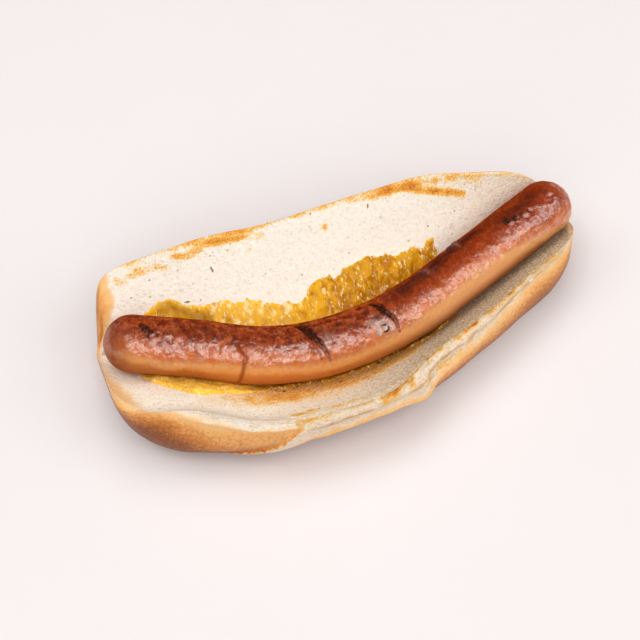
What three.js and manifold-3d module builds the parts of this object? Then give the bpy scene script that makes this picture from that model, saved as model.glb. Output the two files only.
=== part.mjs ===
// A grilled sausage in a split, opened bun with mustard. Millimetres, +Z up, standing on Z = 0.
// +X runs along the bun. The high half of the bun is on the +Y side and the low half on the -Y side.
// The bun is one solid, because its two halves still hang together at the hinge under the sausage.
import * as THREE from "three";
import { mergeVertices } from "three/addons/utils/BufferGeometryUtils.js";
import Module from "manifold-3d";

const wasm = await Module();
wasm.setup();

// Driving dimensions.
const SAUSAGE_RADIUS = 11;
const FIT_GAP = 0.3; // clearance between touching pieces
const MUSTARD_BED = 0.7; // mustard squeezed thin under the sausage
const VALLEY_RADIUS = SAUSAGE_RADIUS + MUSTARD_BED + 2 * FIT_GAP;

// Where each line along the food starts and ends: the sausage's round ends have their centres at AXIS_X.
const AXIS_X = [-70.7, 100.1];
const VALLEY_X = [-84.5, 106.5];
const BACK_X = [-77.5, 104.5];
const FRONT_X = [-84.5, 110];

// Offsets and heights of those lines at nine even stations from the left end to the right end.
const AXIS_Y = [11.1, 1.9, -8.5, -13.2, -12.7, -8.1, -0.1, 8, 15.8];
const AXIS_Z = [25, 23.5, 22.6, 22.2, 22, 22, 22.4, 23.5, 25.5];
const BACK_Y = [43.5, 40.5, 39.9, 37.3, 37.8, 38.5, 38.8, 35.5, 35.4];
const BACK_Z = [33, 36, 38, 39, 39, 39, 38, 36, 33];
const FRONT_Y = [-23, -27.6, -40.3, -43.9, -42.9, -30.7, -21.5, -11.1, -3.8];
const FRONT_Z = [29.4, 32, 31.4, 28.9, 28.5, 26.7, 26.6, 27.2, 28];

// The crust under each half: how far it bulges out below the cut edge, how far it runs in to the ground,
// and how far from the middle it meets the ground. The low half is pinched where the bun has buckled.
const FRONT_BULGE = [25, 26, 20, 11.5, 9, 11.5, 12.5, 12.5, 10];
const FRONT_TUCK = [24, 25, 21.5, 12.5, 15.5, 19, 17, 15, 20];
const FRONT_BASE = [13, 14, 15, 15, 14, 13, 13, 13, 12];
const BACK_BULGE = [14, 15, 15, 15, 15, 15, 15, 14, 13];
const BACK_TUCK = [19, 21, 21, 21, 21, 21, 21, 20, 18];
const BACK_BASE = [11, 12, 12, 12, 12, 12, 12, 12, 11];
const GROUND_SHARE = 0.25; // of each half's width, which lies flat on the ground

// The rounding of the loaf's ends, seen from above and from the side.
const LEFT_END_POWER = 9;
const RIGHT_END_POWER = 5;
const UNDER_POWER = 2.4;
const UNDER_SHARE = 0.28; // of each half length, which rounds up off the ground

// The mustard runs over part of the bun's length. Its reach up each cut face, at even stations along that part.
const MUSTARD_SPAN = [-0.87, 0.47];
const MUSTARD_BACK = [12, 24.8, 24.2, 29.3, 27.8, 26.2, 31.5, 32.8, 31.7, 27.6, 20];
const MUSTARD_FRONT = [9, 22.3, 20.5, 16.5, 13.2, 12.6, 11.7, 11.9, 11.7, 9.8, 8];
const MUSTARD_DEPTH = 1.9;

// The creases scored across the sausage: place, depth, half width, and the angle round it, from +Y over the
// top, where each is deepest.
const CREASES = [
  { x: -36, depth: 0.7, width: 1.4, angle: 2.6 },
  { x: -7, depth: 1.5, width: 1.5, angle: 1.9 },
  { x: 22.5, depth: 1.5, width: 1.5, angle: 1.9 },
  { x: 45, depth: 0.6, width: 1.8, angle: 1.5 },
];

// How finely each solid is faceted.
const BUN_STATIONS = 48;
const BUN_HALF_STEPS = 11;
const SAUSAGE_STATIONS = 84;
const SAUSAGE_CAP_STEPS = 5;
const SAUSAGE_SIDES = 18;
const MUSTARD_STATIONS = 30;
const MUSTARD_STEPS = 10;

const steps = (count) => Array.from({ length: count + 1 }, (_, i) => i / count);
const lerp = ([from, to], share) => from + (to - from) * share;

// A smooth curve through evenly spaced values. Share runs from 0 to 1, and beyond it the curve runs on straight.
function smooth(values, share) {
  const last = values.length - 1;
  const i = Math.min(Math.max(Math.floor(share * last), 0), last - 1);
  const f = share * last - i;
  const [b, c] = [values[i], values[i + 1]];
  const a = i > 0 ? values[i - 1] : 2 * b - c;
  const d = i + 2 <= last ? values[i + 2] : 2 * c - b;
  if (f < 0) return b + (f * (c - a)) / 2;
  if (f > 1) return c + ((f - 1) * (d - b)) / 2;
  return b + 0.5 * f * (c - a + f * (2 * a - 5 * b + 4 * c - d + f * (3 * (b - c) + d - a)));
}

// A quarter of a superellipse: 1 at share 0, falling to 0 at share 1.
const roundOff = (share, power) => Math.max(1 - share ** power, 0) ** (1 / power);

// The sausage's axis at x.
function axisAt(x) {
  const share = (x - AXIS_X[0]) / (AXIS_X[1] - AXIS_X[0]);
  return new THREE.Vector3(x, smooth(AXIS_Y, share), smooth(AXIS_Z, share));
}

// One half of the bun at a station: side is 1 for the high half and -1 for the low half. The cut face leaves
// the valley, which hugs the sausage, at an angle tilt and runs straight to the cut edge.
function halfAt(share, axis, side) {
  const high = side > 0;
  const out = side * (smooth(high ? BACK_Y : FRONT_Y, share) - axis.y);
  const up = smooth(high ? BACK_Z : FRONT_Z, share) - axis.z;
  const reach = Math.hypot(out, up);
  const tilt = Math.atan2(up, out) + Math.asin(VALLEY_RADIUS / reach);
  const straight = Math.sqrt(reach ** 2 - VALLEY_RADIUS ** 2);
  return {
    tilt,
    width: VALLEY_RADIUS * tilt + straight,
    x: lerp(high ? BACK_X : FRONT_X, share),
    bulge: smooth(high ? BACK_BULGE : FRONT_BULGE, share),
    tuck: smooth(high ? BACK_TUCK : FRONT_TUCK, share),
    base: smooth(high ? BACK_BASE : FRONT_BASE, share),
  };
}

// One station across the bun, with t from -1 at the left end to 1 at the right end.
function stationAt(t) {
  const share = (t + 1) / 2;
  const axis = axisAt(lerp(VALLEY_X, share));
  return {
    axis,
    foot: axis.z - VALLEY_RADIUS,
    high: halfAt(share, axis, 1),
    low: halfAt(share, axis, -1),
    narrow: roundOff(Math.abs(t), t < 0 ? LEFT_END_POWER : RIGHT_END_POWER),
    depth: roundOff(Math.max(Math.abs(t) - 1 + UNDER_SHARE, 0) / UNDER_SHARE, UNDER_POWER),
  };
}

// A point of the cut surface, s millimetres up from the foot of the valley: on the high face for s > 0 and on
// the low face for s < 0. Lift raises it square off the face.
function cutPoint(station, s, lift = 0) {
  const side = s < 0 ? -1 : 1;
  const { tilt, width, x } = s < 0 ? station.low : station.high;
  const bend = Math.min(Math.abs(s) / VALLEY_RADIUS, tilt);
  const straight = Math.max(Math.abs(s) - VALLEY_RADIUS * tilt, 0);
  const out = (VALLEY_RADIUS - lift) * Math.sin(bend) + straight * Math.cos(bend);
  const up = VALLEY_RADIUS - (VALLEY_RADIUS - lift) * Math.cos(bend) + straight * Math.sin(bend);
  return new THREE.Vector3(
    station.axis.x + (x - station.axis.x) * Math.min(Math.abs(s) / width, 1),
    station.axis.y + side * out * station.narrow,
    station.foot + up * station.narrow,
  );
}

// A point of the underside, g from -1 at the low half's cut edge to 1 at the high half's.
function underPoint(station, g) {
  const side = g < 0 ? -1 : 1;
  const half = g < 0 ? station.low : station.high;
  const top = cutPoint(station, g * half.width);
  const ground = station.axis.y + side * half.base;
  const inward = Math.abs(g) / GROUND_SHARE;
  let [y, z] = [station.axis.y + side * half.base * inward, 0];
  if (inward > 1) {
    const edge = cutPoint(station, side * half.width);
    const crust = new THREE.CubicBezierCurve(
      new THREE.Vector2(edge.y, edge.z),
      new THREE.Vector2(edge.y + side * half.bulge * Math.sin(half.tilt), edge.z - half.bulge * Math.cos(half.tilt)),
      new THREE.Vector2(ground + side * half.tuck, 0),
      new THREE.Vector2(ground, 0),
    );
    ({ x: y, y: z } = crust.getPoint((1 - Math.abs(g)) / (1 - GROUND_SHARE)));
  }
  return new THREE.Vector3(top.x, top.y + (y - top.y) * station.depth, top.z + (z - top.z) * station.depth);
}

// A closed skin over rings of equally many points, with a fan over each end.
function skin(rings) {
  const around = rings[0].length;
  const points = rings.flat();
  const faces = [];
  for (let i = 0; i + 1 < rings.length; i++)
    for (let j = 0; j < around; j++) {
      const [a, b] = [i * around + j, i * around + ((j + 1) % around)];
      faces.push(a, b, b + around, a, b + around, a + around);
    }
  for (const end of [0, rings.length - 1]) {
    const centre = points.push(new THREE.Vector3()) - 1;
    rings[end].forEach((p) => points[centre].addScaledVector(p, 1 / around));
    for (let j = 0; j < around; j++) {
      const [a, b] = [end * around + j, end * around + ((j + 1) % around)];
      faces.push(centre, ...(end ? [a, b] : [b, a]));
    }
  }
  return new THREE.BufferGeometry().setFromPoints(points).setIndex(faces);
}

// A three.js geometry as a manifold-3d solid, and the solid as a geometry again.
function solidOf(geometry) {
  const merged = mergeVertices(geometry, 1e-4);
  const vertProperties = merged.attributes.position.array;
  return new wasm.Manifold(new wasm.Mesh({ numProp: 3, vertProperties, triVerts: new Uint32Array(merged.index.array) }));
}

function geometryOf(solid) {
  const { vertProperties, triVerts } = solid.getMesh();
  const geometry = new THREE.BufferGeometry();
  geometry.setAttribute("position", new THREE.BufferAttribute(Float32Array.from(vertProperties), 3));
  geometry.setIndex(new THREE.BufferAttribute(Uint32Array.from(triVerts), 1));
  geometry.computeVertexNormals();
  return geometry;
}

// The sausage: rings along its bent axis, closing in at both round ends, with the creases pressed in.
// Extra grows it evenly, for cutting its own clearance in a neighbour.
function sausageGeometry(extra = 0) {
  const cap = steps(SAUSAGE_CAP_STEPS).slice(1, -1).map((f) => (f * Math.PI) / 2);
  const stations = [
    ...cap.map((turn) => ({ x: AXIS_X[0], turn: turn - Math.PI / 2 })),
    ...steps(SAUSAGE_STATIONS).map((f) => ({ x: lerp(AXIS_X, f), turn: 0 })),
    ...cap.map((turn) => ({ x: AXIS_X[1], turn })),
  ];
  const radiusAt = (x, angle) =>
    CREASES.reduce((radius, crease) => {
      const along = Math.exp(-(((x - crease.x) / crease.width) ** 2));
      return radius - crease.depth * along * (0.55 + 0.45 * Math.cos(angle - crease.angle));
    }, SAUSAGE_RADIUS + extra);
  const up = new THREE.Vector3(0, 0, 1);
  const rings = stations.map(({ x, turn }) => {
    const along = axisAt(x + 0.5).sub(axisAt(x - 0.5)).normalize();
    const across = up.clone().cross(along).normalize();
    const over = along.clone().cross(across);
    return steps(SAUSAGE_SIDES).slice(1).map((f) => {
      const angle = 2 * Math.PI * f;
      const radius = radiusAt(x, angle);
      return axisAt(x)
        .addScaledVector(along, radius * Math.sin(turn))
        .addScaledVector(across, radius * Math.cos(turn) * Math.cos(angle))
        .addScaledVector(over, radius * Math.cos(turn) * Math.sin(angle));
    });
  });
  return skin(rings);
}

function bunGeometry() {
  const across = steps(2 * BUN_HALF_STEPS).map((f) => 1 - 2 * f);
  const rings = steps(BUN_STATIONS).slice(1, -1).map((f) => {
    const station = stationAt(Math.sin((f - 0.5) * Math.PI));
    const upper = across.map((g) => cutPoint(station, g * (g < 0 ? station.low : station.high).width));
    const lower = across.slice(1, -1).map((g) => underPoint(station, g));
    return [...upper, ...lower.reverse()];
  });
  return skin(rings);
}

// The mustard: a thin layer over the cut faces, with thin rims, fading out at both ends.
function mustardGeometry() {
  const rings = steps(MUSTARD_STATIONS).slice(1, -1).map((f) => {
    const station = stationAt(lerp(MUSTARD_SPAN, f));
    const reach = [smooth(MUSTARD_BACK, f), -smooth(MUSTARD_FRONT, f)];
    const swell = roundOff(Math.abs(2 * f - 1), 6);
    const line = (over) =>
      steps(MUSTARD_STEPS).map((g) => {
        const rim = roundOff(Math.abs(2 * g - 1), 4) * swell;
        return cutPoint(station, lerp(reach, g), FIT_GAP + (over ? 0.15 + MUSTARD_DEPTH * rim : 0));
      });
    return [...line(true), ...line(false).reverse()];
  });
  return skin(rings);
}

const materials = {
  sausage: new THREE.MeshStandardMaterial({ color: 0xa8451c, roughness: 0.3, metalness: 0 }),
  bun: new THREE.MeshStandardMaterial({ color: 0xe8cfa0, roughness: 0.8, metalness: 0 }),
  mustard: new THREE.MeshStandardMaterial({ color: 0xd9981c, roughness: 0.35, metalness: 0 }),
};

function piece(name, geometry) {
  const mesh = new THREE.Mesh(geometry, materials[name]);
  mesh.name = name;
  return mesh;
}

const clearance = solidOf(sausageGeometry(FIT_GAP));
const hotDog = new THREE.Group();
hotDog.add(
  piece("sausage", sausageGeometry()),
  piece("bun", geometryOf(solidOf(bunGeometry()).subtract(clearance))),
  piece("mustard", geometryOf(solidOf(mustardGeometry()).subtract(clearance))),
);

// The origin is in the middle of the footprint, on the ground.
const box = new THREE.Box3().setFromObject(hotDog);
const middle = box.getCenter(new THREE.Vector3());
hotDog.children.forEach((mesh) => mesh.geometry.translate(-middle.x, -middle.y, -box.min.z));

export default hotDog;
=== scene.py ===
import math

import bpy
import numpy as np
from mathutils import Matrix, Vector, noise


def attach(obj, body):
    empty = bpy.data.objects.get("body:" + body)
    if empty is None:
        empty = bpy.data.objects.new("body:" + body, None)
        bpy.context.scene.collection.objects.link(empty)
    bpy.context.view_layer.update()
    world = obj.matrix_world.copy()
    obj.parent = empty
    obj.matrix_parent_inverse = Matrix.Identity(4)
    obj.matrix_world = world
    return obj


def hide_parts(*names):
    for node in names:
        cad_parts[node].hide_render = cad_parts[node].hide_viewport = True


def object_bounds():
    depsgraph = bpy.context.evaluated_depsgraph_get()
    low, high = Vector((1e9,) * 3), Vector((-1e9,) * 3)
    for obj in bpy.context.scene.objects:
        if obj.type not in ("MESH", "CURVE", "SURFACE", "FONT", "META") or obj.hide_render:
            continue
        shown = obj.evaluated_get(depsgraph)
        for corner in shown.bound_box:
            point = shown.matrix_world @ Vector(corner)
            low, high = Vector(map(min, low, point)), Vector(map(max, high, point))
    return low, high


bl_info = {
    "name": "Hot dog",
    "version": (1, 0, 0),
    "blender": (4, 5, 0),
    "location": "View3D > Sidebar > Hot dog",
    "description": "Builds a grilled sausage in an opened bun with mustard around the fixed frame",
    "category": "Add Mesh",
}

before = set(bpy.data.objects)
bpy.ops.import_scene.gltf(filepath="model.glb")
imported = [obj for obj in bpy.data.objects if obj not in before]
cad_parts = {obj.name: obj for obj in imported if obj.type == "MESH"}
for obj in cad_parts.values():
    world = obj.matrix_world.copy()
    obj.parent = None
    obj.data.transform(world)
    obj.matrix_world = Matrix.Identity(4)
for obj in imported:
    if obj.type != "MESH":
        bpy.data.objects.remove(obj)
FRAME_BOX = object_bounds()

# Shapes are worked out in millimetres and written to the meshes in metres.
MM = 0.001

# The frame's own sizes: the sausage, the valley it lies in, and the lines along the two halves of the bun.
SAUSAGE_RADIUS = 11.0
FIT_GAP = 0.3
VALLEY_RADIUS = SAUSAGE_RADIUS + 0.7 + 2 * FIT_GAP
CENTRE = np.array([13.403, -1.023, 0.0])  # the footprint's middle, on the lines' own axes
AXIS_X = (-70.7, 100.1)
VALLEY_X = (-84.5, 106.5)
AXIS_Y = (11.1, 1.9, -8.5, -13.2, -12.7, -8.1, -0.1, 8, 15.8)
AXIS_Z = (25, 23.5, 22.6, 22.2, 22, 22, 22.4, 23.5, 25.5)
HIGH_HALF = {
    "side": 1,
    "x": (-77.5, 104.5),
    "y": (43.5, 40.5, 39.9, 37.3, 37.8, 38.5, 38.8, 35.5, 35.4),
    "z": (33, 36, 38, 39, 39, 39, 38, 36, 33),
    "bulge": (14, 15, 15, 15, 15, 15, 15, 14, 13),
    "tuck": (19, 21, 21, 21, 21, 21, 21, 20, 18),
    "base": (11, 12, 12, 12, 12, 12, 12, 12, 11),
}
LOW_HALF = {
    "side": -1,
    "x": (-84.5, 110),
    "y": (-23, -27.6, -40.3, -43.9, -42.9, -30.7, -21.5, -11.1, -3.8),
    "z": (29.4, 32, 31.4, 28.9, 28.5, 26.7, 26.6, 27.2, 28),
    "bulge": (25, 26, 20, 11.5, 9, 11.5, 12.5, 12.5, 10),
    "tuck": (24, 25, 21.5, 12.5, 15.5, 19, 17, 15, 20),
    "base": (13, 14, 15, 15, 14, 13, 13, 13, 12),
}
GROUND_SHARE = 0.25
END_POWERS = (9, 5)
UNDER_POWER = 2.4
UNDER_SHARE = 0.28


def smooth(values, share):
    """A smooth curve through evenly spaced values, running on straight beyond both ends."""
    v = np.asarray(values, float)
    share = np.asarray(share, float)
    last = len(v) - 1
    i = np.clip(np.floor(share * last), 0, last - 1).astype(int)
    f = share * last - i
    b, c = v[i], v[i + 1]
    a = np.where(i > 0, v[np.maximum(i - 1, 0)], 2 * b - c)
    d = np.where(i + 2 <= last, v[np.minimum(i + 2, last)], 2 * c - b)
    inside = b + 0.5 * f * (c - a + f * (2 * a - 5 * b + 4 * c - d + f * (3 * (b - c) + d - a)))
    return np.where(f < 0, b + f * (c - a) / 2, np.where(f > 1, c + (f - 1) * (d - b) / 2, inside))


def between(ends, share):
    return ends[0] + (ends[1] - ends[0]) * share


def display(*values):
    """A colour given as it looks on screen, 0 to 255, in the linear values that materials take."""
    return tuple(round(((v / 255 + 0.055) / 1.055) ** 2.4, 4) for v in values)


def round_off(share, power):
    """A quarter of a superellipse: 1 at share 0, falling to 0 at share 1."""
    return np.maximum(1 - np.abs(share) ** power, 0) ** (1 / power)


def step(low, high, value):
    """0 below low, 1 above high, and a soft rise between them."""
    f = np.clip((value - low) / (high - low), 0, 1)
    return f * f * (3 - 2 * f)


def bell(value, width):
    return np.exp(-((value / width) ** 2))


def lumps(points, size, seed=0.0, octaves=3, stretch=(1.0, 1.0, 1.0)):
    """Soft noise from about -1 to 1, with lumps of that size in millimetres, longer where stretch is low."""
    shifted = (points * np.array(stretch) / size + seed).reshape(-1, 3)
    values = [noise.fractal(p, 1.0, 2.0, octaves) for p in shifted.tolist()]
    return np.array(values).reshape(points.shape[:-1])


def axis_at(x):
    share = (x - AXIS_X[0]) / (AXIS_X[1] - AXIS_X[0])
    return smooth(AXIS_Y, share), smooth(AXIS_Z, share)


class Loaf:
    """The opened bun's sections at stations t, from -1 at its left end to 1 at its right end.

    Each half is a rail along its cut edge, with how far the crust bulges beyond it, tucks in below and rests.
    """

    def __init__(self, t):
        self.share = (t + 1) / 2
        self.x = between(VALLEY_X, self.share)
        self.y, self.z = axis_at(self.x)
        self.foot = self.z - VALLEY_RADIUS
        self.narrow = np.where(t < 0, round_off(t, END_POWERS[0]), round_off(t, END_POWERS[1]))
        inward = np.maximum(np.abs(t) - 1 + UNDER_SHARE, 0) / UNDER_SHARE
        self.depth = round_off(inward, UNDER_POWER)
        self.high = self.half(HIGH_HALF)
        self.low = self.half(LOW_HALF)

    def half(self, rail):
        """One half's sizes at the stations: the tilt and width of its cut face and the shape of its crust."""
        side = rail["side"]
        out = side * (smooth(rail["y"], self.share) - self.y)
        up = smooth(rail["z"], self.share) - self.z
        reach = np.hypot(out, up)
        tilt = np.arctan2(up, out) + np.arcsin(VALLEY_RADIUS / reach)
        return {
            "side": side,
            "tilt": tilt,
            "width": VALLEY_RADIUS * tilt + np.sqrt(reach**2 - VALLEY_RADIUS**2),
            "x": between(rail["x"], self.share),
            **{key: smooth(rail[key], self.share) for key in ("bulge", "tuck", "base")},
        }

    def cut(self, half, s, lift=0.0):
        """A point of the cut face, s up from the valley's foot and lifted square off the face."""
        bend = np.minimum(s / VALLEY_RADIUS, half["tilt"])
        straight = np.maximum(s - VALLEY_RADIUS * half["tilt"], 0)
        out = (VALLEY_RADIUS - lift) * np.sin(bend) + straight * np.cos(bend)
        up = VALLEY_RADIUS - (VALLEY_RADIUS - lift) * np.cos(bend) + straight * np.sin(bend)
        x = self.x + (half["x"] - self.x) * np.minimum(s / half["width"], 1)
        y = self.y + half["side"] * out * self.narrow
        return np.stack(np.broadcast_arrays(x, y, self.foot + up * self.narrow), -1) - CENTRE

    def under(self, half, g):
        """A point of the underside, from the middle at g = 0 to the cut edge at g = 1."""
        top = self.cut(half, g * half["width"]) + CENTRE
        edge = self.cut(half, half["width"]) + CENTRE
        side, tilt = half["side"], half["tilt"]
        ground = self.y + side * half["base"]
        u = np.clip((1 - g) / (1 - GROUND_SHARE), 0, 1)
        controls = (
            (edge[..., 1], edge[..., 2]),
            (edge[..., 1] + side * half["bulge"] * np.sin(tilt), edge[..., 2] - half["bulge"] * np.cos(tilt)),
            (ground + side * half["tuck"], 0 * ground),
            (ground, 0 * ground),
        )
        weights = ((1 - u) ** 3, 3 * u * (1 - u) ** 2, 3 * u * u * (1 - u), u**3)
        y, z = (sum(w * c[k] for w, c in zip(weights, controls)) for k in (0, 1))
        flat = g < GROUND_SHARE
        y = np.where(flat, self.y + side * half["base"] * g / GROUND_SHARE, y)
        z = np.where(flat, 0.0, z)
        shape = np.broadcast_shapes(y.shape, top.shape[:-1])
        x = np.broadcast_to(top[..., 0], shape)
        y = top[..., 1] + (y - top[..., 1]) * self.depth
        z = top[..., 2] + (z - top[..., 2]) * self.depth
        return np.stack([x, y, z], -1) - CENTRE


def even_stations(count, half_length=97.0, half_width=24.0):
    """Stations evenly spaced along the loaf's rounded outline, so that its blunt ends get their share."""
    angle = np.linspace(-math.pi / 2, math.pi / 2, 8001)
    power = np.where(angle < 0, *END_POWERS)
    t = np.sign(angle) * np.abs(np.sin(angle)) ** (2 / power)
    narrow = np.cos(angle) ** (2 / power)
    length = np.concatenate(
        [[0], np.cumsum(np.hypot(np.diff(t) * half_length, np.diff(narrow) * half_width))]
    )
    return np.interp(np.linspace(0, length[-1], count), length, t)


def stroke(points, path, width, taper=0.0):
    """How strongly a stroke marks each point, seen from above: 1 on its path, 0 from that width away.

    Taper is the share of its strength that it loses towards its ends.
    """
    plan = points[..., :2]
    nearest, share = np.full(plan.shape[:-1], 1e9), np.zeros(plan.shape[:-1])
    path = np.asarray(path, float)
    for i, (a, b) in enumerate(zip(path[:-1], path[1:])):
        along = np.clip(((plan - a) @ (b - a)) / ((b - a) @ (b - a)), 0, 1)
        distance = np.linalg.norm(plan - a - along[..., None] * (b - a), axis=-1)
        share = np.where(distance < nearest, (i + along) / (len(path) - 1), share)
        nearest = np.minimum(nearest, distance)
    return step(0, 1, 1 - nearest / width) * (1 - taper * (2 * share - 1) ** 2)


def strokes(points, table, taper=0.0):
    """The sum of a table's strokes, each a path, a width and a strength."""
    return sum(strength * stroke(points, path, width, taper) for path, width, strength in table)


def kept_inside(points, margin=0.35):
    """Points eased back where they would leave the frame's own box."""
    low, high = (np.array(corner) / MM for corner in FRAME_BOX)
    over, under = points - (high - margin), (low + margin) - points
    points = np.where(over > 0, high - margin * np.exp(-np.maximum(over, 0) / margin), points)
    under[..., 2] = 0
    points = np.where(under > 0, low + margin * np.exp(-np.maximum(under, 0) / margin), points)
    points[..., 2] = np.maximum(points[..., 2], 0)
    return points


def grid_normals(points):
    """Unit normals of a grid of points, square to its rows and columns."""
    n = np.cross(np.gradient(points, axis=1), np.gradient(points, axis=0))
    return n / np.maximum(np.linalg.norm(n, axis=-1, keepdims=True), 1e-9)


# Mesh building.

WELD_DISTANCE = 0.000001


def deselect():
    if bpy.context.object and bpy.context.object.mode != "OBJECT":
        bpy.ops.object.mode_set(mode="OBJECT")
    bpy.ops.object.select_all(action="DESELECT")


def wrapped_grid(name, points, marks):
    """A grid primitive wrapped over points[row, column] in millimetres.

    Its meeting sides are welded and its open ends closed. Marks are named values, one for each point,
    that the material reads.
    """
    rows, columns = points.shape[:2]
    deselect()
    bpy.ops.mesh.primitive_grid_add(x_subdivisions=columns - 1, y_subdivisions=rows - 1, size=1)
    obj = bpy.context.object
    obj.name = obj.data.name = name
    obj.data.vertices.foreach_set("co", (points * MM).astype(np.float32).ravel())
    for key, values in marks.items():
        mark = obj.data.attributes.new(key, "FLOAT", "POINT")
        mark.data.foreach_set("value", np.ascontiguousarray(values, np.float32).ravel())
    bpy.ops.object.mode_set(mode="EDIT")
    bpy.ops.mesh.select_all(action="SELECT")
    bpy.ops.mesh.remove_doubles(threshold=WELD_DISTANCE)
    bpy.ops.mesh.fill_holes(sides=0)
    bpy.ops.mesh.normals_make_consistent(inside=False)
    bpy.ops.object.mode_set(mode="OBJECT")
    bpy.ops.object.shade_smooth()
    return obj


def soften(obj, group, factor, repeat):
    """Rounds the mesh where a named mark is set, with a Smooth modifier that is applied."""
    values = np.zeros(len(obj.data.vertices), np.float32)
    obj.data.attributes[group].data.foreach_get("value", values)
    weights = obj.vertex_groups.new(name=group)
    for level in range(1, 11):
        chosen = np.nonzero(np.round(values * 10).astype(int) == level)[0]
        weights.add(chosen.tolist(), level / 10, "REPLACE")
    modifier = obj.modifiers.new("Soften", "SMOOTH")
    modifier.factor = factor
    modifier.iterations = repeat
    modifier.vertex_group = group
    bpy.context.view_layer.objects.active = obj
    bpy.ops.object.modifier_apply(modifier=modifier.name)


def finish_piece(obj, material, node):
    obj.data.materials.clear()
    obj.data.materials.append(material)
    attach(obj, "root")
    if node:
        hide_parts(node)


# Materials.


class Value:
    """A value that a material works out at every point, with the arithmetic that adds nodes to it."""

    def __init__(self, shader, socket):
        self.shader = shader
        self.socket = socket

    def __add__(self, other):
        return self.shader.math("ADD", self, other)

    def __radd__(self, other):
        return self.shader.math("ADD", other, self)

    def __sub__(self, other):
        return self.shader.math("SUBTRACT", self, other)

    def __rsub__(self, other):
        return self.shader.math("SUBTRACT", other, self)

    def __mul__(self, other):
        return self.shader.math("MULTIPLY", self, other)

    def __truediv__(self, other):
        return self.shader.math("DIVIDE", self, other)

    def clamped(self):
        """The same value, held between 0 and 1."""
        self.socket.node.use_clamp = True
        return self


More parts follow.
